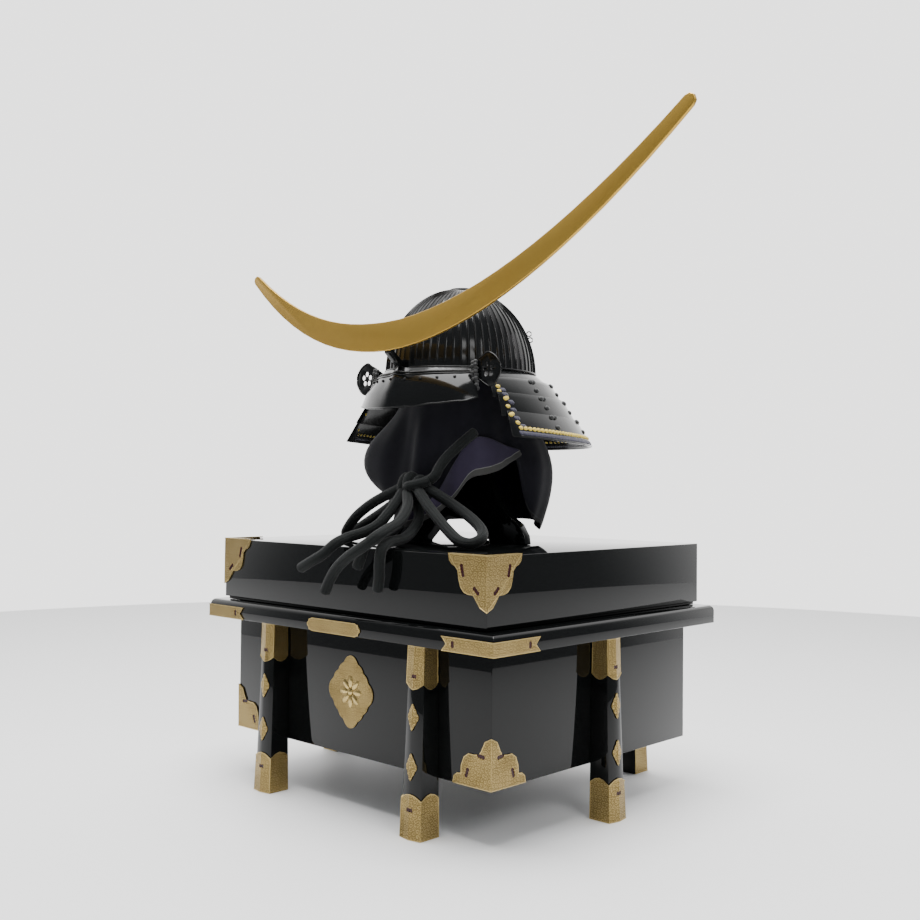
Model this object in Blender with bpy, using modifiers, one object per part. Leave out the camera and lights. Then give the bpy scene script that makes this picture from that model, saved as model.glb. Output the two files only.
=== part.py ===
"""Samurai helmet on a wooden stand, set on the lid of a six-legged lacquered chest.

Metres, +Z up. The front of the helmet faces -Y and the wearer's left is +X.
The chest's centre line is the axis of the stand and the bowl. The crest reaches further to
the left than to the right, so one root empty shifts the whole model sideways and the origin
lies on the floor, under the middle of the model's box.
"""
import math

import bmesh
import bpy
from mathutils import Matrix, Vector

# Gap between pieces that touch, and the gauges of thin metal and cloth
GAP = 0.0003
GILT = 0.0012
IRON = 0.0016
CLOTH = 0.002

# Chest: floor to lid top, lid, ledge round the body, body
CHEST_HEIGHT = 0.348
LID_LENGTH = 0.520
LID_DEPTH = 0.4566
LID_HEIGHT = 0.088
LID_WALL = 0.009
LID_SKIRT_INSET = 0.004
LEDGE_LENGTH = 0.5626
LEDGE_DEPTH = 0.479
LEDGE_HEIGHT = 0.0255
LEDGE_ROUND = 0.007
BODY_LENGTH = 0.5008
BODY_DEPTH = 0.415
BODY_WALL = 0.010
BODY_LIP = 0.016
BODY_CLEARANCE = 0.071

# Legs: five-sided posts that flare downwards, their outer face two facets on an arris
LEG_PLACE = 0.149
LEG_TOP_WIDTH = 0.026
LEG_TOP_DEPTH = 0.024
LEG_FOOT_WIDTH = 0.034
LEG_FOOT_DEPTH = 0.032
LEG_ARRIS = 0.0035

# Gilt fittings
LID_CORNER_WIDTH = 0.062
LID_CORNER_DROP = 0.066
LID_CORNER_FLAP = 0.007
BODY_CORNER_WIDTH = 0.062
BODY_CORNER_RISE = 0.062
STRIP_LENGTH = 0.083
STRIP_HEIGHT = 0.0175
STRIP_NOTCH = 0.008
PLAQUE_LENGTH = 0.106
TOP_CAP_HEIGHT = 0.046
FOOT_CAP_HEIGHT = 0.048
CAP_LOBE = 0.007

# Stand: two boards crossed in the middle, with an arch between the feet
BOARD = 0.013
STAND_REACH = 0.131
STAND_NECK = 0.052
STAND_HEAD = 0.036
ARCH_REACH = 0.063
ARCH_TOP = 0.030
ARCH_HEIGHT = 0.032

# Helmet bowl: half-widths at the rim, heights over the lid
BOWL_SIDE = 0.1014
BOWL_FRONT = 0.1166
BOWL_RIM = 0.2438
BOWL_RISE = 0.125
BOWL_WALL = 0.002
RIBS = 62
RIB_HEIGHT = 0.0016
BOWL_FACET = 0.0008

# Neck guard of four lames: half-widths and height of its lower edge, higher at the front
GUARD_SIDE = 0.180
GUARD_BACK = 0.2125
GUARD_FOOT = 0.1396
LAME_LAP = 0.008
LAME_STEP = IRON + 3 * GAP
GUARD_FRONT_ANGLE = 61.8
GUARD_SPREAD_ANGLE = 9.5
GUARD_FRONT_LIFT = 0.017

# Visor, turnbacks, crest and its prong
VISOR_REACH = 0.1512
VISOR_FOOT = 0.188
VISOR_RIDGE = 0.0055
TURNBACK_OUTER = 0.1435
TURNBACK_INNER = 0.1015
TURNBACK_FRONT = 0.0755
TURNBACK_MIDDLE = 0.239
TURNBACK_HALF_HEIGHT = 0.0235
PETAL = 0.0038
FLOWER = 0.0074
CREST_PLANE = 0.151
CREST_THICKNESS = 0.005
CREST_HEIGHT = 0.2855
CREST_WIDTH = 0.040
CREST_RIGHT_REACH = 0.295
CREST_RIGHT_RISE = 0.1115
CREST_RIGHT_TIP = 0.014
CREST_RIGHT_CURVE = 2.27
CREST_RIGHT_TAPER = 1.9
CREST_LEFT_REACH = 0.4805
CREST_LEFT_RISE = 0.2161
CREST_LEFT_TIP = 0.017
CREST_LEFT_CURVE = 1.77
CREST_LEFT_TAPER = 1.45
PRONG_WIDTH = 0.012
PRONG_GAUGE = 0.003

# Cloth over the stand: neck inside the bowl, where it spreads and where it is widest
CLOTH_NECK = 0.082
CLOTH_BREAK = 0.205
CLOTH_BELLY = 0.125
CLOTH_SPREAD = 0.100
CLOTH_DROP = 0.230
PLEAT = 0.002
TURNED_CLEARANCE = 0.0068

# Chin cord
CORD_DIAMETER = 0.0145
CORD_POINT_SPACING = 0.016
KNOT_CENTRE = (0.0323, -0.124, 0.0801)
KNOT_HALF = (0.031, 0.014, 0.016)

LID_BOTTOM = CHEST_HEIGHT - LID_HEIGHT
LEDGE_BOTTOM = LID_BOTTOM - GAP - LEDGE_HEIGHT
BOWL_CROWN = BOWL_RIM + BOWL_RISE


def clear_scene():
    for old in list(bpy.data.objects):
        bpy.data.objects.remove(old, do_unlink=True)


def new_collection(name):
    made = bpy.data.collections.new(name)
    bpy.context.scene.collection.children.link(made)
    return made


def finish(name, colour, roughness, metallic=0.0):
    made = bpy.data.materials.new(name)
    made.use_nodes = True
    shader = made.node_tree.nodes["Principled BSDF"]
    shader.inputs["Base Color"].default_value = (*colour, 1.0)
    shader.inputs["Roughness"].default_value = roughness
    shader.inputs["Metallic"].default_value = metallic
    made.diffuse_color = (*colour, 1.0)
    return made


clear_scene()
PARTS = new_collection("samurai_helmet")
CUTTERS = new_collection("cutters")
LACQUER = finish("black_lacquer", (0.006, 0.007, 0.007), 0.08)
IRON_BLACK = finish("lacquered_iron", (0.007, 0.008, 0.009), 0.12, 0.2)
GILT_BRASS = finish("gilt_brass", (0.38, 0.28, 0.11), 0.35, 0.9)
CREST_GOLD = finish("satin_gold", (0.34, 0.22, 0.06), 0.4, 0.7)
CLOTH_DARK = finish("dark_cloth", (0.010, 0.010, 0.016), 0.9)
LINING = finish("purple_lining", (0.045, 0.035, 0.075), 0.85)
CORD_DARK = finish("dark_cord", (0.008, 0.011, 0.010), 0.85)

ROOT = bpy.data.objects.new("root_place", None)
PARTS.objects.link(ROOT)


def above_lid(height):
    return CHEST_HEIGHT + height


def keep(name, mesh, material):
    """Make a mesh a named piece of the object, under the root empty."""
    mesh.materials.clear()
    mesh.materials.append(material)
    made = bpy.data.objects.new(name, mesh)
    PARTS.objects.link(made)
    made.parent = ROOT
    return made


def mesh_of(name, work, outward=True):
    if outward:
        bmesh.ops.recalc_face_normals(work, faces=work.faces)
    mesh = bpy.data.meshes.new(name)
    work.to_mesh(mesh)
    work.free()
    return mesh


def box_mesh(work, size, centre):
    made = bmesh.ops.create_cube(work, size=1.0)["verts"]
    bmesh.ops.scale(work, vec=Vector(size), verts=made)
    bmesh.ops.translate(work, vec=Vector(centre), verts=made)
    return made


def loft(work, rings):
    """Bridge closed rings of equal length and cap both ends."""
    rows = [[work.verts.new(point) for point in ring] for ring in rings]
    count = len(rows[0])
    for lower, upper in zip(rows, rows[1:]):
        for i in range(count):
            j = (i + 1) % count
            work.faces.new((lower[i], lower[j], upper[j], upper[i]))
    work.faces.new(rows[0][::-1])
    work.faces.new(rows[-1])


def grid(work, rows, closed=False):
    """An open surface through rows of points."""
    made = [[work.verts.new(point) for point in row] for row in rows]
    count = len(made[0])
    for lower, upper in zip(made, made[1:]):
        for i in range(count if closed else count - 1):
            j = (i + 1) % count
            work.faces.new((lower[i], lower[j], upper[j], upper[i]))
    return made


def face_away(work, centre):
    """Turn an open surface's faces away from a point inside it."""
    bmesh.ops.recalc_face_normals(work, faces=work.faces)
    middle = Vector(centre)
    total = sum(face.normal.dot(face.calc_center_median() - middle) for face in work.faces)
    if total < 0:
        bmesh.ops.reverse_faces(work, faces=work.faces)


def thicken(made, thickness, offset):
    shell = made.modifiers.new("wall", "SOLIDIFY")
    shell.thickness = thickness
    shell.offset = offset
    shell.use_even_offset = True
    return shell


def weld(mesh):
    work = bmesh.new()
    work.from_mesh(mesh)
    bmesh.ops.remove_doubles(work, verts=work.verts, dist=1e-6)
    bmesh.ops.recalc_face_normals(work, faces=work.faces)
    work.to_mesh(mesh)
    work.free()


def flat_piece(name, outline, thickness, turn, material):
    """A flat outline with a thickness, turned and moved by a matrix."""
    curve = bpy.data.curves.new(name, "CURVE")
    curve.dimensions = "2D"
    curve.fill_mode = "BOTH"
    curve.extrude = thickness / 2
    spline = curve.splines.new("POLY")
    spline.points.add(len(outline) - 1)
    for point, (u, v) in zip(spline.points, outline):
        point.co = (u, v, 0.0, 1.0)
    spline.use_cyclic_u = True
    holder = bpy.data.objects.new(name, curve)
    PARTS.objects.link(holder)
    graph = bpy.context.evaluated_depsgraph_get()
    mesh = bpy.data.meshes.new_from_object(holder.evaluated_get(graph))
    bpy.data.objects.remove(holder)
    mesh.transform(turn)
    weld(mesh)
    return keep(name, mesh, material)


def standing(x=0.0, y=0.0, z=0.0, spin=0.0):
    """Stand an outline up in the XZ plane, spun about Z, then move it."""
    upright = Matrix.Rotation(math.radians(90.0), 4, "X")
    return Matrix.Translation((x, y, z)) @ Matrix.Rotation(math.radians(spin), 4, "Z") @ upright


def smooth_route(points, spacing):
    """Points at an even spacing on a smooth curve through the route's own points."""
    places = [Vector(point) for point in points]
    ends = [2 * places[0] - places[1]] + places + [2 * places[-1] - places[-2]]
    fine = []
    steps = 12
    for i in range(1, len(ends) - 2):
        before, start, stop, after = ends[i - 1:i + 3]
        for k in range(steps):
            t = k / steps
            fine.append(0.5 * (2 * start + (stop - before) * t
                               + (2 * before - 5 * start + 4 * stop - after) * t * t
                               + (3 * start - before - 3 * stop + after) * t ** 3))
    fine.append(ends[-2])
    lengths = [0.0]
    for a, b in zip(fine, fine[1:]):
        lengths.append(lengths[-1] + (b - a).length)
    count = max(2, round(lengths[-1] / spacing))
    result = []
    j = 0
    for k in range(count + 1):
        wanted = lengths[-1] * k / count
        while j < len(fine) - 2 and lengths[j + 1] < wanted:
            j += 1
        share = (wanted - lengths[j]) / (lengths[j + 1] - lengths[j])
        result.append(fine[j].lerp(fine[j + 1], min(share, 1.0)))
    return result


def tube_mesh(name, points, radius, resolution=2):
    curve = bpy.data.curves.new(name, "CURVE")
    curve.dimensions = "3D"
    curve.bevel_depth = radius
    curve.bevel_resolution = resolution
    curve.use_fill_caps = True
    spline = curve.splines.new("POLY")
    spline.points.add(len(points) - 1)
    for point, place in zip(spline.points, points):
        point.co = (*place, 1.0)
    holder = bpy.data.objects.new(name, curve)
    PARTS.objects.link(holder)
    graph = bpy.context.evaluated_depsgraph_get()
    mesh = bpy.data.meshes.new_from_object(holder.evaluated_get(graph))
    bpy.data.objects.remove(holder)
    weld(mesh)
    return mesh


def soft_table(table, x, column):
    """Interpolation that eases in and out at each row of the table."""
    for low, high in zip(table, table[1:]):
        if x <= high[0]:
            share = max((x - low[0]) / (high[0] - low[0]), 0.0)
            share = share * share * (3 - 2 * share)
            return low[column] + (high[column] - low[column]) * share
    return table[-1][column]


# Chest

def build_chest_body():
    base = BODY_CLEARANCE
    top = LID_BOTTOM + BODY_LIP
    height = top - base
    work = bmesh.new()
    box_mesh(work, (BODY_LENGTH, BODY_DEPTH, height), (0, 0, base + height / 2))
    lid_side = max(work.faces, key=lambda face: face.calc_center_median().z)
    bmesh.ops.inset_region(work, faces=[lid_side], thickness=BODY_WALL)
    floor = bmesh.ops.extrude_face_region(work, geom=[lid_side])
    moved = [item for item in floor["geom"] if isinstance(item, bmesh.types.BMVert)]
    bmesh.ops.translate(work, vec=(0, 0, BODY_WALL - height), verts=moved)
    bmesh.ops.delete(work, geom=[lid_side], context="FACES_ONLY")
    keep("chest_body", mesh_of("chest_body", work), LACQUER)


def build_chest_ledge():
    """A frame round the body, its upper outer edge rounded."""
    middle = LEDGE_BOTTOM + LEDGE_HEIGHT / 2
    work = bmesh.new()
    box_mesh(work, (LEDGE_LENGTH, LEDGE_DEPTH, LEDGE_HEIGHT), (0, 0, middle))
    top_z = middle + LEDGE_HEIGHT / 2
    upper = [edge for edge in work.edges if all(abs(v.co.z - top_z) < 1e-6 for v in edge.verts)]
    bmesh.ops.bevel(work, geom=upper, offset=LEDGE_ROUND, segments=3, profile=0.5, affect="EDGES")
    ledge = keep("chest_ledge", mesh_of("chest_ledge", work), LACQUER)
    work = bmesh.new()
    hole = (BODY_LENGTH + 2 * GAP, BODY_DEPTH + 2 * GAP, 3 * LEDGE_HEIGHT)
    box_mesh(work, hole, (0, 0, middle))
    cut(ledge, mesh_of("ledge_hole", work), "ledge_hole")


def cut(target, cutter_mesh, name, operation="DIFFERENCE"):
    """Cut or join a mesh with a helper object, which stays hidden among the cutters."""
    cutter = bpy.data.objects.new(name, cutter_mesh)
    CUTTERS.objects.link(cutter)
    cutter.parent = ROOT
    cutter.hide_render = True
    cutter.display_type = "WIRE"
    change = target.modifiers.new(name, "BOOLEAN")
    change.operation = operation
    change.object = cutter
    return change


def build_chest_lid():
    """A hollow lid whose lower edge steps in, which leaves a dark line over the ledge."""
    work = bmesh.new()
    length, depth = LID_LENGTH, LID_DEPTH
    rows = ((length, depth, CHEST_HEIGHT), (length, depth, LID_BOTTOM + LID_SKIRT_INSET),
            (length - 2 * LID_SKIRT_INSET, depth - 2 * LID_SKIRT_INSET,
             LID_BOTTOM + LID_SKIRT_INSET),
            (length - 2 * LID_SKIRT_INSET, depth - 2 * LID_SKIRT_INSET, LID_BOTTOM),
            (length - 2 * LID_WALL, depth - 2 * LID_WALL, LID_BOTTOM),
            (length - 2 * LID_WALL, depth - 2 * LID_WALL, CHEST_HEIGHT - LID_WALL))
    loft(work, [[(sx * wide / 2, sy * deep / 2, z)
                 for sx, sy in ((-1, -1), (1, -1), (1, 1), (-1, 1))] for wide, deep, z in rows])
    keep("chest_lid", mesh_of("chest_lid", work), LACQUER)


def leg_width_at(z):
    share = z / (LEDGE_BOTTOM - GAP)
    return LEG_FOOT_WIDTH + (LEG_TOP_WIDTH - LEG_FOOT_WIDTH) * share


def leg_depth_at(z):
    share = z / (LEDGE_BOTTOM - GAP)
    return LEG_FOOT_DEPTH + (LEG_TOP_DEPTH - LEG_FOOT_DEPTH) * share


def leg_section(z, grow=0.0):
    """The post's section at a height, from the body's face outwards (+v)."""
    half = leg_width_at(z) / 2 + grow
    deep = leg_depth_at(z) + grow
    return [(-half, 0.0), (-half, deep), (0.0, deep + LEG_ARRIS), (half, deep), (half, 0.0)]


LEGS = (
    ("front_right", -LEG_PLACE, -BODY_DEPTH / 2 - GAP, 180.0),
    ("front_left", LEG_PLACE, -BODY_DEPTH / 2 - GAP, 180.0),
    ("back_right", -LEG_PLACE, BODY_DEPTH / 2 + GAP, 0.0),
    ("back_left", LEG_PLACE, BODY_DEPTH / 2 + GAP, 0.0),
    ("side_right", -BODY_LENGTH / 2 - GAP, 0.0, 90.0),
    ("side_left", BODY_LENGTH / 2 + GAP, 0.0, -90.0),
)


def build_legs():
    for name, x, y, spin in LEGS:
        turn = Matrix.Translation((x, y, 0)) @ Matrix.Rotation(math.radians(spin), 4, "Z")
        work = bmesh.new()
        loft(work, [[(u, v, z) for u, v in leg_section(z)] for z in (0.0, LEDGE_BOTTOM - GAP)])
        mesh = mesh_of("leg_" + name, work)
        mesh.transform(turn)
        keep("leg_" + name, mesh, LACQUER)
        build_cap("cap_top_" + name, turn, LEDGE_BOTTOM - 2 * GAP, -TOP_CAP_HEIGHT)
        build_cap("cap_foot_" + name, turn, GAP, FOOT_CAP_HEIGHT)


def build_cap(name, turn, base, height):
    """A gilt sleeve round three sides of a leg, its free edge in a lobe on each face."""
    lobe = math.copysign(CAP_LOBE, height)
    edges = []
    for k in range(3):
        edges += [(k, 0.0, 0.0), (k, 0.28, 0.75), (k, 0.5, 1.0), (k, 0.72, 0.75)]
    edges.append((2, 1.0, 0.0))
    rows = []
    for level in (0, 1):
        row = []
        for face, share, rise in edges:
            z = base if level == 0 else base + height + lobe * rise
            outline = leg_section(z, grow=GAP + GILT)
            corners = (outline[0], outline[1], outline[3], outline[4])
            wall = GILT + GAP
            a, b = Vector(corners[face]), Vector(corners[face + 1])
            point = a.lerp(b, share)
            if face == 1:
                middle = 1 - abs(2 * share - 1)
                point.y += LEG_ARRIS * middle
            if (face == 0 and share == 0.0) or (face == 2 and share == 1.0):
                point.y = wall
            row.append((point.x, point.y, z))
        rows.append(row)
    work = bmesh.new()
    grid(work, rows)
    face_away(work, (0, 0, base))
    mesh = mesh_of(name, work, outward=False)
    mesh.transform(turn)
    cap = keep(name, mesh, GILT_BRASS)
    thicken(cap, GILT, -1.0)


# Outlines of half a corner fitting: share of its width from the corner, share of its height
LID_CORNER_EDGE = ((1.0, 0.0), (0.97, 0.11), (0.90, 0.18), (0.82, 0.21), (0.74, 0.29), (0.72, 0.43),
                   (0.67, 0.58), (0.58, 0.67), (0.48, 0.70), (0.33, 0.71), (0.26, 0.80),
                   (0.16, 0.92), (0.0, 1.0))
BODY_CORNER_EDGE = ((1.0, 0.0), (0.97, 0.14), (0.88, 0.21), (0.78, 0.22), (0.77, 0.38),
                    (0.70, 0.55), (0.58, 0.63), (0.44, 0.63), (0.30, 0.65), (0.24, 0.74),
                    (0.15, 0.92), (0.0, 1.0))


def corner_fitting(name, corner, sx, sy, width, height, edge, flap=0.0):
    """A gilt sheet folded round an upright corner, with a flap on top where it has one."""
    x, y, z = corner
    work = bmesh.new()

    def place(along_x, along_y, rise):
        return (x - sx * along_x, y - sy * along_y, z + rise)

    tip = work.verts.new(place(0, 0, height))
    root = work.verts.new(place(0, 0, 0))
    ends = []
    for side in (0, 1):
        loop = [root]
        for across, up in edge[:-1]:
            run = across * width
            loop.append(work.verts.new(place(run if side == 0 else 0, run if side == 1 else 0,
                                             up * height)))
        loop.append(tip)
        work.faces.new(loop)
        ends.append(loop[1])
    if flap:
        deep = [work.verts.new(place(width, flap, 0)), work.verts.new(place(flap, flap, 0)),
                work.verts.new(place(flap, width, 0))]
        work.faces.new((ends[0], root, deep[1], deep[0]))
        work.faces.new((root, ends[1], deep[2], deep[1]))
    face_away(work, (x - sx * width, y - sy * width, z + height / 2 - (0.3 * width if flap else 0)))
    fitting = keep(name, mesh_of(name, work, outward=False), GILT_BRASS)
    thicken(fitting, GILT, 1.0)


def build_fittings():
    half_x, half_y = LID_LENGTH / 2 + GAP, LID_DEPTH / 2 + GAP
    body_x, body_y = BODY_LENGTH / 2 + GAP, BODY_DEPTH / 2 + GAP
    ledge_x, ledge_y = LEDGE_LENGTH / 2 + GAP, LEDGE_DEPTH / 2 + GAP
    for side, sx in (("right", -1), ("left", 1)):
        corner_fitting("lid_corner_" + side, (sx * half_x, -half_y, CHEST_HEIGHT + GAP), sx, -1,
                       LID_CORNER_WIDTH, -LID_CORNER_DROP, LID_CORNER_EDGE, LID_CORNER_FLAP)
        corner_fitting("body_corner_" + side, (sx * body_x, -body_y, BODY_CLEARANCE), sx, -1,
                       BODY_CORNER_WIDTH, BODY_CORNER_RISE, BODY_CORNER_EDGE)
        build_strip("ledge_strip_" + side, (sx * ledge_x, -ledge_y, LEDGE_BOTTOM), sx, -1)
    flat_piece("ledge_plaque", plaque_outline(), GILT,
               standing(0, -ledge_y - GILT / 2, LEDGE_BOTTOM + STRIP_HEIGHT / 2), GILT_BRASS)


def build_strip(name, corner, sx, sy):
    """A gilt band bent round the ledge's corner, both ends cut to a swallow tail."""
    x, y, z = corner
    work = bmesh.new()
    low = work.verts.new((x, y, z))
    high = work.verts.new((x, y, z + STRIP_HEIGHT))
    for side in (0, 1):
        loop = [low]
        for run, up in ((STRIP_LENGTH, 0.0), (STRIP_LENGTH - STRIP_NOTCH, 0.5), (STRIP_LENGTH, 1.0)):
            dx, dy = (run, 0) if side == 0 else (0, run)
            loop.append(work.verts.new((x - sx * dx, y - sy * dy, z + up * STRIP_HEIGHT)))
        loop.append(high)
        work.faces.new(loop)
    face_away(work, (x - sx * STRIP_LENGTH, y - sy * STRIP_LENGTH, z))
    strip = keep(name, mesh_of(name, work, outward=False), GILT_BRASS)
    thicken(strip, GILT, 1.0)


def plaque_outline():
    """A long plaque whose ends are three small lobes."""
    half, tall = PLAQUE_LENGTH / 2, STRIP_HEIGHT / 2
    shares = ((0.82, 1.0), (0.86, 0.86), (0.93, 0.80), (0.95, 0.40), (1.0, 0.20), (1.0, -0.20),
              (0.95, -0.40), (0.93, -0.80), (0.86, -0.86), (0.82, -1.0))
    right = [(half * u, tall * v) for u, v in shares]
    return right + [(-u, v) for u, v in reversed(right)]


# Stand

# Lift from the bowl's rim to its crown of each row of the cloth inside the bowl
CLOTH_LIFTS = (90.0, 75.0, 55.0, 30.0, 0.0)
CLOTH_COLUMNS = 40


def cloth_head(lift):
    """Radius and height over the lid of the cloth's outer face inside the bowl."""
    t = math.radians(lift)
    rise = BOWL_RISE - BOWL_WALL - BOWL_FACET
    return CLOTH_NECK * math.cos(t), BOWL_RIM + rise * math.sin(t)


def under_cloth(x):
    """Height over the lid of a board's top edge, just under the cloth, at x from the axis."""
    reach = math.hypot(x, BOARD / 2) / math.cos(math.pi / CLOTH_COLUMNS)
    heights = []
    for upper, lower in zip(CLOTH_LIFTS, CLOTH_LIFTS[1:]):
        (r0, z0), (r1, z1) = cloth_head(upper), cloth_head(lower)
        slope = (z1 - z0) / (r1 - r0)
        heights.append(z0 + slope * (reach - r0) - CLOTH * math.hypot(1.0, slope) - 4 * GAP)
    return min(heights)


def board_outline(slot_from_top):
    """One board of the stand, with half of the cross lap as a slot on its axis."""
    slot = BOARD / 2 + GAP
    middle = (BOWL_RIM + ARCH_HEIGHT) / 2
    foot = ((STAND_REACH, 0.0), (STAND_REACH - 0.002, 0.012), (STAND_REACH - 0.013, 0.028),
            (STAND_REACH - 0.030, 0.038), (0.080, 0.058), (0.062, 0.095),
            (STAND_NECK, 0.150), (STAND_NECK - 0.004, 0.225), (STAND_HEAD, 0.300))
    head = []
    for k in range(5):
        x = STAND_HEAD + (slot - STAND_HEAD) * k / 4
        head.append((x, under_cloth(x)))
    arch = ((ARCH_TOP, ARCH_HEIGHT), (ARCH_REACH - 0.001, 0.004), (ARCH_REACH, 0.0))
    right = list(foot) + head
    if slot_from_top:
        right.append((slot, middle - GAP))
        left = [(-u, v) for u, v in reversed(right)]
        return right + left + [(-u, v) for u, v in reversed(arch)] + list(arch)
    top = [(0.0, under_cloth(0.0))]
    left = [(-u, v) for u, v in reversed(right)]
    lower = [(-u, v) for u, v in reversed(arch)] + [(-slot, ARCH_HEIGHT), (-slot, middle + GAP),
                                                   (slot, middle + GAP), (slot, ARCH_HEIGHT)]
    return right + top + left + lower + list(arch)


def build_stand():
    place = CHEST_HEIGHT + GAP
    flat_piece("stand_board_across", board_outline(True), BOARD, standing(0, 0, place), LACQUER)
    flat_piece("stand_board_along", board_outline(False), BOARD, standing(0, 0, place, 90.0),
               LACQUER)


# Helmet

def bowl_point(angle, lift, grow):
    """A point on the bowl: angle about the axis from the front, lift from rim to crown."""
    a, t = math.radians(angle), math.radians(lift)
    side, front = BOWL_SIDE + grow, BOWL_FRONT + grow
    flat = math.cos(t)
    return (side * flat * math.sin(a), -front * flat * math.cos(a),
            above_lid(BOWL_RIM + (BOWL_RISE + grow) * math.sin(t)))


def build_bowl():
    """Iron plates joined on raised ribs, as one ribbed shell."""
    lifts = (0.0, 20.0, 42.0, 62.0, 78.0)
    rows = []
    for lift in lifts:
        fade = min(1.0, (90.0 - lift) / 30.0)
        row = []
        for k in range(2 * RIBS):
            rib = RIB_HEIGHT * fade if k % 2 else 0.0
            row.append(bowl_point(360.0 * k / (2 * RIBS), lift, rib))
        rows.append(row)
    work = bmesh.new()
    made = grid(work, rows, closed=True)
    crown = work.verts.new(bowl_point(0.0, 90.0, 0.0))
    last = made[-1]
    for k in range(2 * RIBS):
        work.faces.new((last[k], last[(k + 1) % (2 * RIBS)], crown))
    face_away(work, (0, 0, above_lid(BOWL_RIM)))
    bowl = keep("helmet_bowl", mesh_of("helmet_bowl", work, outward=False), IRON_BLACK)
    thicken(bowl, BOWL_WALL, -1.0)


# Visor rim: angle from the front, reach from the axis and height, as shares of the front's
VISOR_RIM = ((0.0, 1.0, -0.02), (18.0, 0.973, 0.01), (28.0, 0.962, 0.068), (44.0, 0.965, 0.127),
             (53.0, 0.926, 0.233))


def build_visor():
    angles = (0.0, 2.5, 6.0, 12.0, 20.0, 28.0, 36.0, 42.0, 48.0, 53.0)
    angles = [-a for a in reversed(angles[1:])] + list(angles)
    root_grow = RIB_HEIGHT + GAP + IRON
    drop = BOWL_RIM - VISOR_FOOT
    rows = []
    for level in (0.0, 0.3, 0.65, 1.0):
        row = []
        for angle in angles:
            a = abs(angle)
            reach = VISOR_REACH * soft_table(VISOR_RIM, a, 1)
            height = VISOR_FOOT + drop * soft_table(VISOR_RIM, a, 2)
            turn = math.radians(angle)
            rim = Vector((reach * math.sin(turn), -reach * math.cos(turn), above_lid(height)))
            root = Vector(bowl_point(angle * 1.04, 0.0, root_grow))
            root.z += GAP
            point = root.lerp(rim, level)
            bulge = 0.005 * math.sin(math.pi * level)
            ridge = VISOR_RIDGE * (1 - level) * math.exp(-(a / 5.0) ** 2)
            out = Vector((math.sin(turn), -math.cos(turn), 0.35))
            point += out * (bulge + ridge)
            row.append(point)
        rows.append(row)
    work = bmesh.new()
    grid(work, rows)
    face_away(work, (0, 0, above_lid(VISOR_FOOT)))
    visor = keep("visor", mesh_of("visor", work, outward=False), IRON_BLACK)
    thicken(visor, IRON, -1.0)


# Lower edge of each lame: share of the guard's spread, share of its drop
LAME_EDGES = ((0.0, 0.0), (0.28, 0.19), (0.51, 0.44), (0.75, 0.715), (1.0, 1.0))


def guard_point(angle, spread, fall):
    """A point on the outer face of the neck guard."""
    a = math.radians(angle)
    top_side, top_back = BOWL_SIDE + RIB_HEIGHT, BOWL_FRONT + RIB_HEIGHT
    side = top_side + (GUARD_SIDE - top_side) * spread
    back = top_back + (GUARD_BACK - top_back) * spread
    lift = GUARD_FRONT_LIFT * ((1 + math.cos(a)) / 2) ** 2
    height = BOWL_RIM - GAP + (GUARD_FOOT + lift - BOWL_RIM) * fall
    return Vector((side * math.sin(a), -back * math.cos(a), above_lid(height)))


def lame_face(angle, k):
    """Upper point, lower point and outward normal of a lame's face at an angle."""
    lower = guard_point(angle, *LAME_EDGES[k + 1])
    upper = guard_point(angle, *LAME_EDGES[k])
    along = guard_point(angle + 1.0, *LAME_EDGES[k]) - guard_point(angle - 1.0, *LAME_EDGES[k])
    if k:
        upper = upper + lame_face(angle, k - 1)[2] * LAME_STEP
    normal = (lower - upper).cross(along).normalized()
    if normal.z < 0:
        normal.negate()
    return upper, lower, normal


def build_neck_guard():
    """Four flared lames, each outside the one above, open at the face."""
    for k in range(4):
        front = GUARD_FRONT_ANGLE + GUARD_SPREAD_ANGLE * k / 4
        sides = [66.0] + [8.0 * i for i in range(9, 37)] + [294.0]
        angles = [front] + [a for a in sides if front < a < 360.0 - front] + [360.0 - front]
        rows = [[lame_face(a, k)[0] for a in angles], [lame_face(a, k)[1] for a in angles]]
        if k:
            lap = []
            for angle in angles:
                upper, lower, normal = lame_face(angle, k - 1)
                lap.append(lower + (upper - lower).normalized() * LAME_LAP + normal * LAME_STEP)
            rows.insert(0, lap)
        work = bmesh.new()
        grid(work, rows)
        face_away(work, (0, 0, above_lid(GUARD_FOOT)))
        name = f"neck_lame_{k + 1}"
        lame = keep(name, mesh_of(name, work, outward=False), IRON_BLACK)
        thicken(lame, IRON, -1.0)


# Turnback plate: share of its length from the lame outwards, share of its half height
TURNBACK_EDGE = ((0.0, 0.62, -0.42), (0.2, 0.78, -0.66), (0.42, 1.0, -0.9), (0.6, 0.94, -1.0),
                 (0.8, 0.72, -0.8), (0.93, 0.45, -0.5), (1.0, 0.2, -0.25))


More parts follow.
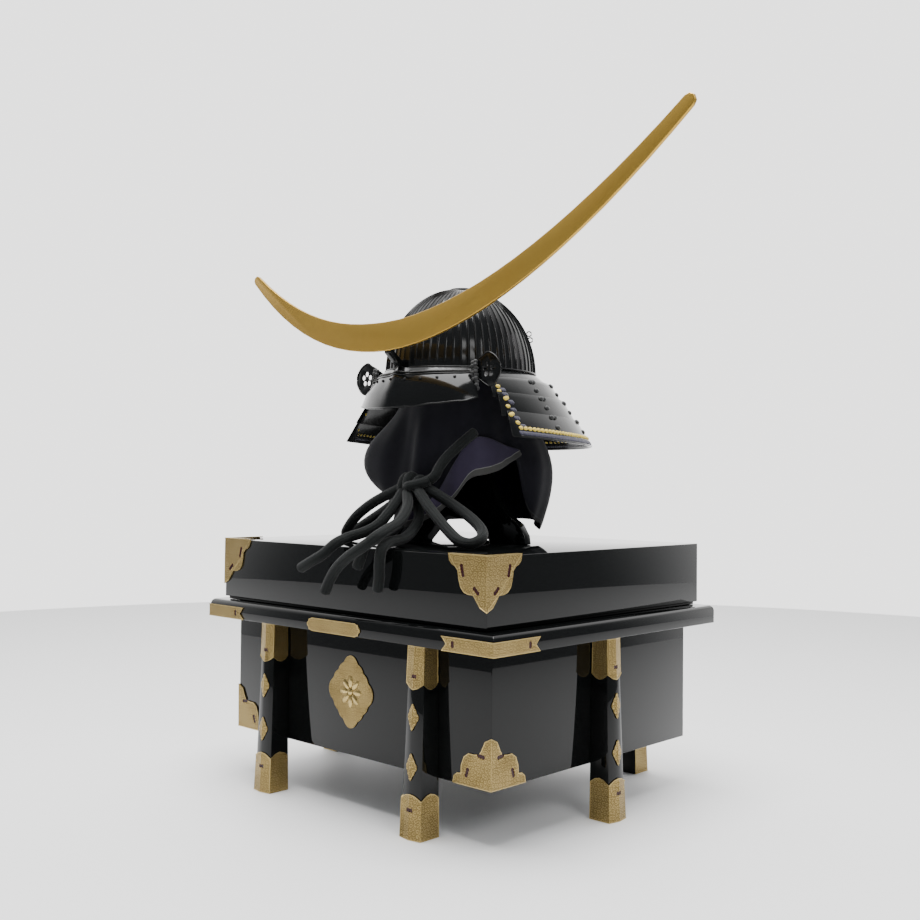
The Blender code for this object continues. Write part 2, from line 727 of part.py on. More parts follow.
def build_turnbacks():
    """The top lame's front ends turn outwards in a pierced plate on each side."""
    for name, side in (("right", -1), ("left", 1)):
        top = guard_point(GUARD_FRONT_ANGLE - 0.6, 0.03, 0.03)
        low = guard_point(GUARD_FRONT_ANGLE - 0.6, 0.26, 0.18)
        rows = []
        for share in (0.0, 0.5, 1.0):
            edge = top.lerp(low, share)
            row = [(side * edge.x, edge.y, edge.z)]
            for along, high, down in TURNBACK_EDGE:
                x = TURNBACK_INNER + (TURNBACK_OUTER - TURNBACK_INNER) * along
                rise = TURNBACK_HALF_HEIGHT * (high + (down - high) * share)
                row.append((side * x, -TURNBACK_FRONT, above_lid(TURNBACK_MIDDLE + rise)))
            rows.append(row)
        work = bmesh.new()
        grid(work, rows)
        bmesh.ops.recalc_face_normals(work, faces=work.faces)
        plate = keep("turnback_" + name, mesh_of("turnback_" + name, work, outward=False),
                     IRON_BLACK)
        thicken(plate, IRON, 0.0)
        work = bmesh.new()
        centre_x = TURNBACK_INNER + (TURNBACK_OUTER - TURNBACK_INNER) * 0.5
        for k in range(5):
            turn = math.radians(90 + 72 * k)
            place = Matrix.Translation((side * centre_x + FLOWER * math.cos(turn), -TURNBACK_FRONT,
                                        above_lid(TURNBACK_MIDDLE) + FLOWER * math.sin(turn)))
            bmesh.ops.create_cone(work, cap_ends=True, segments=10, radius1=PETAL, radius2=PETAL,
                                  depth=6 * IRON,
                                  matrix=place @ Matrix.Rotation(math.radians(90), 4, "X"))
        cut(plate, mesh_of("flower_" + name, work), "flower_" + name)


def crest_side(reach, rise, tip, power, taper, direction, steps):
    """Centre line and width of one horn, from the middle outwards."""
    rows = []
    for k in range(steps + 1):
        share = k / steps
        x = reach * share
        z = CREST_HEIGHT + rise * share ** power
        slope = rise * power * share ** (power - 1) / reach if share else 0.0
        width = CREST_WIDTH + (tip - CREST_WIDTH) * share ** taper
        rows.append((direction * x, z, direction * slope, width))
    return rows


def crest_outline():
    """Outer edge of the crescent, in x and height over the lid."""
    left = crest_side(CREST_LEFT_REACH, CREST_LEFT_RISE, CREST_LEFT_TIP,
                      CREST_LEFT_CURVE, CREST_LEFT_TAPER, 1, 16)
    right = crest_side(CREST_RIGHT_REACH, CREST_RIGHT_RISE, CREST_RIGHT_TIP,
                       CREST_RIGHT_CURVE, CREST_RIGHT_TAPER, -1, 12)
    rows = right[:0:-1] + left
    lower, upper = [], []
    for x, z, slope, width in rows:
        size = math.hypot(1.0, slope)
        nx, nz = -slope / size, 1.0 / size
        lower.append((x - nx * width / 2, z - nz * width / 2))
        upper.append((x + nx * width / 2, z + nz * width / 2))
    ends = []
    for x, z, slope, width in (rows[-1], rows[0]):
        size = math.hypot(1.0, slope)
        out = 1.0 if x > 0 else -1.0
        tx, tz = out / size, out * slope / size
        nx, nz = -slope / size, 1.0 / size
        turns = (-45.0, 0.0, 45.0) if x > 0 else (45.0, 0.0, -45.0)
        ends.append([(x + width / 2 * (tx * math.cos(math.radians(a)) + nx * math.sin(math.radians(a))),
                      z + width / 2 * (tz * math.cos(math.radians(a)) + nz * math.sin(math.radians(a))))
                     for a in turns])
    return lower + ends[0] + upper[::-1] + ends[1]


def build_crest():
    flat_piece("crest", crest_outline(), CREST_THICKNESS,
               standing(0, -CREST_PLANE, CHEST_HEIGHT), CREST_GOLD)
    back = CREST_PLANE - CREST_THICKNESS / 2 - GAP
    low = CREST_HEIGHT - CREST_WIDTH / 2
    high = CREST_HEIGHT + CREST_WIDTH * 0.3
    root = BOWL_FRONT + RIB_HEIGHT + GAP
    base = BOWL_RIM + 0.003
    outline = ((root, base), (root + 0.010, base), (back, low - 0.002), (back, high),
               (back - PRONG_GAUGE, high), (back - PRONG_GAUGE, low + 0.004),
               (root + 0.008, base + 0.008), (root, base + 0.010))
    flat_piece("crest_prong", outline, PRONG_WIDTH, standing(0, 0, CHEST_HEIGHT, -90.0), IRON_BLACK)


# Cloth, by the angle from the front: hem height as a share of the drop below the rim,
# widest radius and hem radius as shares of the spread
CLOTH_TURNS = (
    (-180.0, 0.93, 1.30, 1.27), (-150.0, 0.93, 1.29, 1.20), (-110.0, 0.93, 1.32, 1.18),
    (-78.0, 0.82, 1.42, 1.22), (-50.0, 0.74, 1.46, 1.13), (-35.0, 0.79, 1.28, 1.06),
    (-20.0, 0.90, 0.99, 1.04), (-10.0, 0.96, 0.95, 1.27), (0.0, 0.995, 0.94, 1.38),
    (10.0, 0.93, 0.94, 1.29), (20.0, 0.88, 0.94, 1.05), (34.0, 0.77, 0.95, 1.00),
    (50.0, 0.61, 0.97, 1.00), (72.0, 0.57, 0.99, 1.03), (90.0, 0.49, 1.10, 1.10),
    (99.0, 0.88, 1.22, 1.13), (108.0, 0.925, 1.30, 1.15), (122.0, 0.945, 1.36, 1.18),
    (135.0, 1.006, 1.39, 1.20), (147.0, 0.95, 1.36, 1.16), (162.0, 0.93, 1.30, 1.20),
    (180.0, 0.93, 1.30, 1.27))


def cloth_radius(angle, height):
    """Radius of the cloth's outer face at an angle and a height over the lid."""
    belly = CLOTH_SPREAD * soft_table(CLOTH_TURNS, angle, 2)
    hem = CLOTH_SPREAD * soft_table(CLOTH_TURNS, angle, 3)
    hem_height = BOWL_RIM - CLOTH_DROP * soft_table(CLOTH_TURNS, angle, 1)
    if height > CLOTH_BREAK:
        return CLOTH_NECK
    if height > CLOTH_BELLY:
        share = (CLOTH_BREAK - height) / (CLOTH_BREAK - CLOTH_BELLY)
        share = share * share * (3 - 2 * share)
        pleat = PLEAT * share * math.cos(math.radians(9 * angle))
        return CLOTH_NECK + (belly - CLOTH_NECK) * share + pleat
    share = (CLOTH_BELLY - height) / max(CLOTH_BELLY - hem_height, 0.02)
    pleat = PLEAT * math.cos(math.radians(9 * angle))
    return belly + (hem - belly) * min(share, 1.0) ** 2.5 + pleat


def build_cloth():
    columns = CLOTH_COLUMNS
    angles = [-180.0 + 360.0 * k / columns for k in range(columns)]
    rows = []
    for lift in CLOTH_LIFTS[1:]:
        radius, height = cloth_head(lift)
        rows.append([(radius * math.sin(math.radians(a)), -radius * math.cos(math.radians(a)),
                      above_lid(height)) for a in angles])
    for share in (0.2, 0.4, 0.6, 0.78, 0.9, 1.0):
        row = []
        for a in angles:
            fall = CLOTH_DROP * soft_table(CLOTH_TURNS, a, 1) * share
            height = BOWL_RIM - fall
            radius = cloth_radius(a, height)
            row.append((radius * math.sin(math.radians(a)), -radius * math.cos(math.radians(a)),
                        above_lid(height)))
        rows.append(row)
    work = bmesh.new()
    made = grid(work, rows, closed=True)
    crown = work.verts.new((0, 0, above_lid(cloth_head(90.0)[1])))
    for k in range(columns):
        work.faces.new((made[0][(k + 1) % columns], made[0][k], crown))
    face_away(work, (0, 0, above_lid(CLOTH_BELLY)))
    cloth = keep("cloth", mesh_of("cloth", work, outward=False), CLOTH_DARK)
    thicken(cloth, CLOTH, -1.0)


# Turned-out corner of the cloth: angle, its fold and its hem as shares of the drop
TURNED_CORNER = ((6.0, 0.886, 0.973), (15.0, 0.834, 0.938), (24.0, 0.764, 0.895),
                 (32.0, 0.650, 0.843), (41.0, 0.534, 0.773), (49.0, 0.425, 0.653),
                 (60.0, 0.395, 0.645), (70.0, 0.425, 0.621), (80.0, 0.460, 0.573),
                 (90.0, 0.480, 0.517))


def build_turned_corner():
    """The corner beside the knot is turned outwards and shows the lining."""
    rows = []
    for share in (0.0, 0.35, 0.7, 1.0):
        row = []
        for angle, fold, hem in TURNED_CORNER:
            height = BOWL_RIM - CLOTH_DROP * (fold + (hem - fold) * share)
            curl = 0.004 * share * share
            radius = cloth_radius(angle, height) + TURNED_CLEARANCE + curl
            turn = math.radians(angle)
            row.append((radius * math.sin(turn), -radius * math.cos(turn), above_lid(height)))
        rows.append(row)
    work = bmesh.new()
    grid(work, rows)
    face_away(work, (0, 0, above_lid(CLOTH_BELLY)))
    corner = keep("cloth_turned_corner", mesh_of("cloth_turned_corner", work, outward=False), LINING)
    thicken(corner, CLOTH, -1.0)


# Chin cord: chosen points, with the height over the lid. Each route starts inside the knot,
# and a loop ends there too.
CORD_ROUTES = {
    "cord_strand": ((0.0502, -0.125, 0.0851), (0.0663, -0.122, 0.093), (0.0694, -0.115, 0.1058),
                    (0.0731, -0.106, 0.1186), (0.0801, -0.095, 0.1315), (0.087, -0.08, 0.1455),
                    (0.0926, -0.0705, 0.1545)),
    "cord_loop_left": ((0.0474, -0.126, 0.0811), (0.0638, -0.123, 0.074), (0.0776, -0.119, 0.0661),
                       (0.0939, -0.115, 0.0569), (0.118, -0.117, 0.046), (0.146, -0.125, 0.0342),
                       (0.1683, -0.136, 0.0231), (0.18, -0.152, 0.0144), (0.1731, -0.164, 0.009),
                       (0.1541, -0.166, 0.0128), (0.128, -0.16, 0.0257), (0.1028, -0.153, 0.0404),
                       (0.0794, -0.146, 0.0547), (0.0608, -0.139, 0.0668),
                       (0.0448, -0.131, 0.0756)),
    "cord_loop_right": ((0.0153, -0.128, 0.0799), (0.0009, -0.132, 0.0733),
                        (-0.0176, -0.135, 0.0657), (-0.041, -0.14, 0.0537),
                        (-0.0666, -0.141, 0.0384), (-0.0871, -0.138, 0.0235),
                        (-0.1088, -0.126, 0.0108), (-0.1119, -0.11, 0.0117),
                        (-0.0956, -0.105, 0.0225), (-0.0728, -0.106, 0.0329),
                        (-0.0458, -0.11, 0.0442), (-0.0187, -0.116, 0.0558),
                        (0.0068, -0.121, 0.0678)),
    "cord_tail_outer": ((0.0169, -0.132, 0.0735), (0.0227, -0.151, 0.0569),
                        (0.0247, -0.168, 0.0421), (0.0233, -0.184, 0.0284), (0.0144, -0.2, 0.0187),
                        (0.0042, -0.218, 0.0124), (0.0024, -0.239, 0.0047),
                        (-0.0092, -0.25, -0.0093), (-0.0277, -0.255, -0.0198),
                        (-0.0474, -0.256, -0.0292)),
    "cord_tail_front": ((0.0291, -0.136, 0.0709), (0.0554, -0.161, 0.0517),
                        (0.0754, -0.195, 0.0339), (0.0895, -0.231, 0.0243),
                        (0.0925, -0.25, 0.0169), (0.0837, -0.257, 0.008),
                        (0.0714, -0.2605, 0.0002), (0.0516, -0.262, -0.0108),
                        (0.0317, -0.2615, -0.0247), (0.0181, -0.261, -0.0401),
                        (0.0081, -0.261, -0.0563)),
    "cord_tail_short": ((0.0206, -0.124, 0.0726), (0.0317, -0.14, 0.0513),
                        (0.0409, -0.159, 0.0331), (0.0447, -0.178, 0.0203),
                        (0.0508, -0.202, 0.0131), (0.0583, -0.224, 0.0104),
                        (0.0626, -0.241, 0.0042), (0.0578, -0.2445, -0.0112),
                        (0.0523, -0.2445, -0.0226)),
    "cord_tail_inner": ((0.0189, -0.116, 0.0726), (0.0346, -0.12, 0.0521),
                        (0.0512, -0.136, 0.0342), (0.0594, -0.157, 0.0192),
                        (0.0695, -0.18, 0.0121), (0.0799, -0.203, 0.0103),
                        (0.0905, -0.228, 0.0085), (0.095, -0.243, 0.0007),
                        (0.0945, -0.2455, -0.0168), (0.0932, -0.2445, -0.0328),
                        (0.0893, -0.243, -0.0495)),
}
LOOPS = ("cord_loop_left", "cord_loop_right")
STUB_SHARE = 0.9


def split_first(points):
    """Part the start of a route: the knot's stub, which ends between the second point and the
    third, and the rest of the cord's tube."""
    before, after = points[1], points[2]
    meet = before.lerp(after, STUB_SHARE)
    ease = (after - before).normalized() * GAP
    return [points[0], before, meet - ease / 2], [meet + ease / 2] + points[2:]


def build_cord():
    """The knot with a stub for each cord, and a tube for each strand, loop and tail."""
    radius = CORD_DIAMETER / 2
    stubs = []
    for name, route in CORD_ROUTES.items():
        places = [Vector((x, y, above_lid(z))) for x, y, z in route]
        stub, run = split_first(smooth_route(places, CORD_POINT_SPACING))
        stubs.append(stub)
        if name in LOOPS:
            stub, run = split_first(run[::-1])
            stubs.append(stub)
        keep(name, tube_mesh(name, run, radius), CORD_DARK)
    x, y, z = KNOT_CENTRE
    work = bmesh.new()
    made = bmesh.ops.create_icosphere(work, subdivisions=2, radius=1.0)["verts"]
    bmesh.ops.scale(work, vec=Vector(KNOT_HALF), verts=made)
    bmesh.ops.translate(work, vec=Vector((x, y, above_lid(z))), verts=made)
    knot = keep("cord_knot", mesh_of("cord_knot", work), CORD_DARK)
    for k, stub in enumerate(stubs):
        cut(knot, tube_mesh(f"stub_{k}", stub, radius), f"stub_{k}", "UNION")


def place_root():
    """Centre the model's box over the origin, from the crest's and the side legs' reach."""
    xs = [point[0] for point in crest_outline()]
    leg = BODY_LENGTH / 2 + GAP + LEG_FOOT_DEPTH + LEG_ARRIS
    left, right = max(xs + [leg]), min(xs + [-leg])
    ROOT.location.x = -(left + right) / 2


build_chest_body()
build_chest_ledge()
build_chest_lid()
build_legs()
build_fittings()
build_stand()
build_bowl()
build_visor()
build_neck_guard()
build_turnbacks()
build_crest()
build_cloth()
build_turned_corner()
build_cord()
place_root()
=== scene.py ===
import math

import bmesh
import bpy
import numpy as np
from mathutils import Matrix, Vector
from mathutils.bvhtree import BVHTree


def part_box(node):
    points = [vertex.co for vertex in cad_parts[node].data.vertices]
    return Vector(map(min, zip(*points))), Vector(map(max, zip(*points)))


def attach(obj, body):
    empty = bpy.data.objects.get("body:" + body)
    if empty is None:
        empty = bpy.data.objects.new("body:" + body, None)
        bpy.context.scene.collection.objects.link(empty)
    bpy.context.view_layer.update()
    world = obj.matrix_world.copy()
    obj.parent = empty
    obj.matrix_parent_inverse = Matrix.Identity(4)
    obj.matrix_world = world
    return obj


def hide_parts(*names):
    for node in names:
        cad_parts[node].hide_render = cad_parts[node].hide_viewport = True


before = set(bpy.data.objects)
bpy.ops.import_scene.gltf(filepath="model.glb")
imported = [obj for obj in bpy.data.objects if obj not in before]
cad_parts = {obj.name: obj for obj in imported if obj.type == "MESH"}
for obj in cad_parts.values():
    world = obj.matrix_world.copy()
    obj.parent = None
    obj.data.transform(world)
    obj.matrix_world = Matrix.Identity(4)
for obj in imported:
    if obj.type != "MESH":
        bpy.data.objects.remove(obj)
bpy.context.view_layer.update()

# A samurai helmet on its stand and lacquered chest. Metres, +Z up, the helmet's front to -Y.
# Everything stands on the chest's centre line, taken from the lid's middle, and heights
# over the lid start at the lid's top face.
LID_LOW, LID_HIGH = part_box("chest_lid")
LID_TOP = LID_HIGH.z
AXIS = (LID_LOW.x + LID_HIGH.x) / 2
CAD_GAP = 0.0003


# Camera.
# It stands off the chest's front left corner, a little over the lid, and looks slightly up.
FOCAL_LENGTH = 43.762
CAMERA_PLACE = Vector((AXIS + 1.1306, -1.1922, LID_TOP + 0.0860))
CAMERA_TURN = math.radians(43.511)
CAMERA_RISE = math.radians(1.1445)
CAMERA_ROLL = math.radians(0.4786)


def placed(name, data):
    """An object for its data, in the scene."""
    made = bpy.data.objects.new(name, data)
    bpy.context.scene.collection.objects.link(made)
    return made


lens = bpy.data.cameras.new("camera")
lens.sensor_width = 36.0
lens.lens = FOCAL_LENGTH
camera = placed("camera", lens)
ahead = Vector((-math.sin(CAMERA_TURN) * math.cos(CAMERA_RISE),
                math.cos(CAMERA_TURN) * math.cos(CAMERA_RISE), math.sin(CAMERA_RISE)))
level = Vector((math.cos(CAMERA_TURN), math.sin(CAMERA_TURN), 0.0))
above = level.cross(ahead)
across = math.cos(CAMERA_ROLL) * level + math.sin(CAMERA_ROLL) * above
upward = -math.sin(CAMERA_ROLL) * level + math.cos(CAMERA_ROLL) * above
camera.matrix_world = (Matrix.Translation(CAMERA_PLACE)
                       @ Matrix((across, upward, -ahead)).transposed().to_4x4())
bpy.context.scene.camera = camera


# Chin cord.
# A padded cord of fine black-green braid, tied under the chin in a bow: a strand that goes up
# behind the cloth's turned corner, two loops, and four tails that run over the lid's front edge.
CORD_DIAMETER = 0.0145
CORD_ROUTES = {
    "cord_strand": (
        (0.0502, -0.125, 0.0851), (0.0663, -0.122, 0.093), (0.0694, -0.115, 0.1058),
        (0.0731, -0.106, 0.1186), (0.0801, -0.095, 0.1315), (0.087, -0.08, 0.1455),
        (0.0926, -0.0705, 0.1545)),
    "cord_loop_left": (
        (0.0474, -0.126, 0.0811), (0.0638, -0.123, 0.074), (0.0776, -0.119, 0.0661),
        (0.0939, -0.115, 0.0569), (0.118, -0.117, 0.046), (0.146, -0.125, 0.0342),
        (0.1683, -0.136, 0.0231), (0.18, -0.152, 0.0144), (0.1731, -0.164, 0.009),
        (0.1541, -0.166, 0.0128), (0.128, -0.16, 0.0257), (0.1028, -0.153, 0.0404),
        (0.0794, -0.146, 0.0547), (0.0608, -0.139, 0.0668), (0.0448, -0.131, 0.0756)),
    "cord_loop_right": (
        (0.0153, -0.128, 0.0799), (0.0009, -0.132, 0.0733), (-0.0176, -0.135, 0.0657),
        (-0.041, -0.14, 0.0537), (-0.0666, -0.141, 0.0384), (-0.0871, -0.138, 0.0235),
        (-0.1088, -0.126, 0.0108), (-0.1119, -0.11, 0.0117), (-0.0956, -0.105, 0.0225),
        (-0.0728, -0.106, 0.0329), (-0.0458, -0.11, 0.0442), (-0.0187, -0.116, 0.0558),
        (0.0068, -0.121, 0.0678)),
    "cord_tail_outer": (
        (0.0169, -0.132, 0.0735), (0.0227, -0.151, 0.0569), (0.0247, -0.168, 0.0421),
        (0.0233, -0.184, 0.0284), (0.0144, -0.2, 0.0187), (0.0042, -0.218, 0.0124),
        (0.0024, -0.239, 0.0047), (-0.0092, -0.25, -0.0093), (-0.0277, -0.255, -0.0198),
        (-0.0474, -0.256, -0.0292)),
    "cord_tail_front": (
        (0.0291, -0.136, 0.0709), (0.0554, -0.161, 0.0517), (0.0754, -0.195, 0.0339),
        (0.0895, -0.231, 0.0243), (0.0925, -0.25, 0.0169), (0.0837, -0.257, 0.008),
        (0.0714, -0.2605, 0.0002), (0.0516, -0.262, -0.0108), (0.0317, -0.2615, -0.0247),
        (0.0181, -0.261, -0.0401), (0.0081, -0.261, -0.0563)),
    "cord_tail_short": (
        (0.0206, -0.124, 0.0726), (0.0317, -0.14, 0.0513), (0.0409, -0.159, 0.0331),
        (0.0447, -0.178, 0.0203), (0.0508, -0.202, 0.0131), (0.0583, -0.224, 0.0104),
        (0.0626, -0.241, 0.0042), (0.0578, -0.2445, -0.0112), (0.0523, -0.2445, -0.0226)),
    "cord_tail_inner": (
        (0.0189, -0.116, 0.0726), (0.0346, -0.12, 0.0521), (0.0512, -0.136, 0.0342),
        (0.0594, -0.157, 0.0192), (0.0695, -0.18, 0.0121), (0.0799, -0.203, 0.0103),
        (0.0905, -0.228, 0.0085), (0.095, -0.243, 0.0007), (0.0945, -0.2455, -0.0168),
        (0.0932, -0.2445, -0.0328), (0.0893, -0.243, -0.0495)),
}
KNOT_CENTRE = Vector((0.0323, -0.124, 0.0801))
# The braid's plaits round the cord, its turns to the metre and its relief
BRAID_PLAITS, BRAID_TURNS, BRAID_RELIEF = 10.0, 330.0, 0.0006


def new_finish(name, colour, roughness, settings=None):
    """A material with its shader's constants set; gives it, its tree and its shader's sockets."""
    made = bpy.data.materials.new(name)
    made.use_nodes = True
    surface = made.node_tree.nodes["Principled BSDF"].inputs
    surface["Base Color"].default_value = (*colour, 1.0)
    surface["Roughness"].default_value = roughness
    for key, value in (settings or {}).items():
        surface[key].default_value = value
    made.diffuse_color = (*colour, 1.0)
    return made, made.node_tree, surface


def node(tree, kind, settings=None, **sockets):
    """Add a node, set its properties, and set or wire its sockets by name or by _number."""
    made = tree.nodes.new("ShaderNode" + kind)
    for key, value in (settings or {}).items():
        setattr(made, key, value)
    for key, value in sockets.items():
        socket = made.inputs[int(key[1:]) if key[0] == "_" else key]
        if isinstance(value, bpy.types.NodeSocket):
            tree.links.new(value, socket)
        else:
            socket.default_value = value
    return made


def sum_of(tree, operation, first, second=0.5, third=0.5):
    """One step of arithmetic between two or three sockets or numbers."""
    return node(tree, "Math", {"operation": operation}, _0=first, _1=second, _2=third).outputs[0]


def times(tree, first, second):
    return sum_of(tree, "MULTIPLY", first, second)


def grain(tree, scale, detail=2.0):
    """Noise over the piece's own space."""
    return node(tree, "TexNoise", Scale=scale, Detail=detail,
                Vector=node(tree, "TexCoord").outputs["Object"]).outputs["Fac"]


def spread(tree, value, low, high, soft=False):
    """A value stretched from low and high to 0 and 1, eased at both if soft."""
    easing = {"interpolation_type": "SMOOTHSTEP"} if soft else None
    return node(tree, "MapRange", easing, Value=value, _1=low, _2=high).outputs[0]


def pattern(tree, group, **values):
    """The outputs of a node group placed in a material."""
    return node(tree, "Group", {"node_tree": group}, **values).outputs


def toned(tree, mask, dark, light):
    """Colour a finish from dark to light by a mask."""
    mix = node(tree, "Mix", {"data_type": "RGBA"}, Factor=mask, _6=(*dark, 1.0), _7=(*light, 1.0))
    tree.links.new(mix.outputs[2], tree.nodes["Principled BSDF"].inputs["Base Color"])


def raised(tree, height, strength, distance):
    """Give a finish its relief."""
    relief = node(tree, "Bump", Strength=strength, Distance=distance, Height=height)
    tree.links.new(relief.outputs[0], tree.nodes["Principled BSDF"].inputs["Normal"])


def new_group(name, inputs, outputs):
    """A shader node group with its own sockets, all plain numbers."""
    group = bpy.data.node_groups.new(name, "ShaderNodeTree")
    for label, value in inputs.items():
        socket = group.interface.new_socket(label, in_out="INPUT", socket_type="NodeSocketFloat")
        socket.default_value = value
    for label in outputs:
        group.interface.new_socket(label, in_out="OUTPUT", socket_type="NodeSocketFloat")
    return group, group.nodes.new("NodeGroupInput").outputs, group.nodes.new("NodeGroupOutput").inputs


def braid_group():
    """Plaits of silk round a cord: a mask of the raised strands by the cord's UV, for relief and
    painted shade.
    """
    group, given, wanted = new_group("silk_braid", {"Round": BRAID_PLAITS, "Along": BRAID_TURNS},
                                     ("Strands", "Fleck"))
    place = node(group, "SeparateXYZ", _0=node(group, "TexCoord").outputs["UV"]).outputs
    side = sum_of(group, "FLOORED_MODULO", times(group, place["X"], given["Round"]), 1.0)
    fold = sum_of(group, "ABSOLUTE", sum_of(group, "SUBTRACT", side, 0.5))
    slant = sum_of(group, "ADD", times(group, place["Y"], given["Along"]), times(group, fold, 2.0))
    wave = sum_of(group, "ABSOLUTE", sum_of(group, "SINE", times(group, slant, math.pi)))
    valley = sum_of(group, "SMOOTH_MIN", times(group, fold, 6.0), 1.0, 0.4)
    group.links.new(times(group, sum_of(group, "POWER", wave, 0.6), valley), wanted["Strands"])
    group.links.new(grain(group, 900.0), wanted["Fleck"])
    return group


SILK_BRAID = braid_group()


def braided(name, dark, light):
    """A braided silk: painted shade between the strands, lighter on them."""
    made, tree, _ = new_finish(name, dark, 0.8, {"Sheen Weight": 0.08, "Sheen Roughness": 0.4,
                                                 "Specular IOR Level": 0.2})
    plait = pattern(tree, SILK_BRAID, Round=BRAID_PLAITS, Along=BRAID_TURNS)
    # The strands' mask tones the colour: painted shade in the valleys between strands, lighter on their
    # tops; the fleck is the silk's own random tone.
    toned(tree, times(tree, plait["Strands"], sum_of(tree, "ADD", plait["Fleck"], 0.3)), dark, light)
    raised(tree, plait["Strands"], 0.8, BRAID_RELIEF)
    return made


BLACK_CORD = braided("black_silk_cord", (0.0020, 0.0026, 0.0026), (0.0075, 0.0095, 0.0090))


def over_lid(point):
    """A place given from the chest's centre line and the lid's top, in the frame."""
    return Vector((AXIS + point[0], point[1], LID_TOP + point[2]))


def eased(points, spacing):
    """Evenly spaced points on a smooth curve through the chosen ones."""
    points = [Vector(point) for point in points]
    ends = [2 * points[0] - points[1]] + points + [2 * points[-1] - points[-2]]
    fine = []
    for before, start, stop, after in zip(ends, ends[1:], ends[2:], ends[3:]):
        for k in range(12):
            t = k / 12
            fine.append(0.5 * (2 * start + (stop - before) * t
                               + (2 * before - 5 * start + 4 * stop - after) * t * t
                               + (3 * start - before - 3 * stop + after) * t ** 3))
    fine.append(points[-1])
    steps = np.array([(b - a).length for a, b in zip(fine, fine[1:])])
    along = np.concatenate([[0.0], np.cumsum(steps)])
    at = np.linspace(0.0, along[-1], max(3, round(along[-1] / spacing) + 1))
    line = np.array([tuple(point) for point in fine])
    return [Vector(point) for point in
            np.stack([np.interp(at, along, line[:, k]) for k in range(3)], axis=1)]


def mesh_piece(name, points, faces, material, smooth=True):
    """An object from points and faces, at the origin."""
    mesh = bpy.data.meshes.new(name)
    mesh.from_pydata([tuple(point) for point in points], [], faces)
    mesh.polygons.foreach_set("use_smooth", [smooth] * len(mesh.polygons))
    mesh.update()
    mesh.materials.append(material)
    return placed(name, mesh)


def ring_round(place, out, side, radius, sides):
    """Points round a place, from one way towards another."""
    turns = [2 * math.pi * k / sides for k in range(sides)]
    return [place + (out * math.cos(a) + side * math.sin(a)) * radius for a in turns]


def skin(rings, sides, closed=False, capped=False):
    """Faces between rings of points, the last joined to the first if closed."""
    faces = []
    for j in range(rings if closed else rings - 1):
        m = (j + 1) % rings
        for k in range(sides):
            n = (k + 1) % sides
            faces.append((j * sides + k, j * sides + n, m * sides + n, m * sides + k))
    if capped:
        faces += [tuple(range(sides))[::-1], tuple((rings - 1) * sides + k for k in range(sides))]
    return faces


# A cord's rounded end: how far past the line's end, in half radii, and its share of the width
CORD_END = ((1.0, 0.0), (0.87, 0.5), (0.5, 0.87))
LEAST_RADIUS = 0.00001


def tube(name, line, radius, material, sides=20):
    """A round tube along a line, closed and rounded at both ends, with UV round and along."""
    normal = (line[1] - line[0]).normalized().orthogonal().normalized()
    run, stations = 0.0, []
    for i, point in enumerate(line):
        if i:
            run += (point - line[i - 1]).length
        ahead = (line[min(i + 1, len(line) - 1)] - line[max(i - 1, 0)]).normalized()
        normal = (normal - ahead * normal.dot(ahead)).normalized()
        stations.append((point, normal.copy(), ahead, run, 1.0))
    ends = [[(place + ahead * (way * radius * past * 0.5), out, ahead, run, wide)
             for past, wide in CORD_END]
            for way, (place, out, ahead, run, _) in ((-1, stations[0]), (1, stations[-1]))]
    full = ends[0] + stations + ends[1][::-1]
    points, uv = [], []
    for place, out, ahead, _, wide in full:
        points += ring_round(place, out, ahead.cross(out), max(radius * wide, LEAST_RADIUS), sides)
    for below, above in zip(full, full[1:]):
        for k in range(sides):
            left, right = k / sides, (k + 1) / sides
            uv += [(left, below[3]), (right, below[3]), (right, above[3]), (left, above[3])]
    uv += [(0.0, 0.0)] * (2 * sides)
    made = mesh_piece(name, points, skin(len(full), sides, capped=True), material)
    layer = made.data.uv_layers.new(name="UVMap")
    layer.data.foreach_set("uv", [value for pair in uv for value in pair])
    return made


def only(*chosen):
    """Select just these objects, the last one active."""
    bpy.ops.object.select_all(action="DESELECT")
    for one in chosen:
        one.select_set(True)
    bpy.context.view_layer.objects.active = chosen[-1]


def joined(name, pieces):
    """Several pieces made one."""
    only(*pieces)
    bpy.ops.object.join()
    pieces[-1].name = name
    return pieces[-1]


def on_root(piece):
    """Hang a piece under the root body; the object has one body."""
    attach(piece, "root")


# The knot's wraps: place along it, lean, half height, half depth and the cord's own radius there
KNOT_WRAPS = ((-0.0170, 12.0, 0.0125, 0.0080, 0.0074), (-0.0050, -10.0, 0.0130, 0.0090, 0.0076),
              (0.0080, 14.0, 0.0095, 0.0080, 0.0066))
KNOT_BAR = ((-0.006, -0.0100, -0.001), (0.004, -0.0145, 0.0005), (0.016, -0.0115, 0.003),
            (0.029, -0.004, 0.0065))


def knot_pieces():
    """Upright wraps round the knot's core, and the strand that crosses in front of them."""
    made = []
    for shift, lean, tall, deep, thick in KNOT_WRAPS:
        slope = math.tan(math.radians(lean))
        ring = []
        for k in range(41):
            a = 2 * math.pi * k / 40
            y, z = -deep * math.cos(a), tall * math.sin(a)
            ring.append(over_lid(KNOT_CENTRE + Vector((shift + slope * z, y, z))))
        made.append(tube("knot_wrap", ring, thick, BLACK_CORD, sides=16))
    bar = eased([over_lid(KNOT_CENTRE + Vector(point)) for point in KNOT_BAR], 0.003)
    made.append(tube("knot_bar", bar, CORD_DIAMETER * 0.48, BLACK_CORD))
    return made


knot = joined("chin_knot", knot_pieces())
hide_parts("cord_knot")
on_root(knot)

for name, route in CORD_ROUTES.items():
    line = eased([over_lid(point) for point in route], 0.004)
    made = tube(name.replace("cord_", "chin_cord_"), line, CORD_DIAMETER / 2, BLACK_CORD, sides=24)
    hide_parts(name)
    on_root(made)


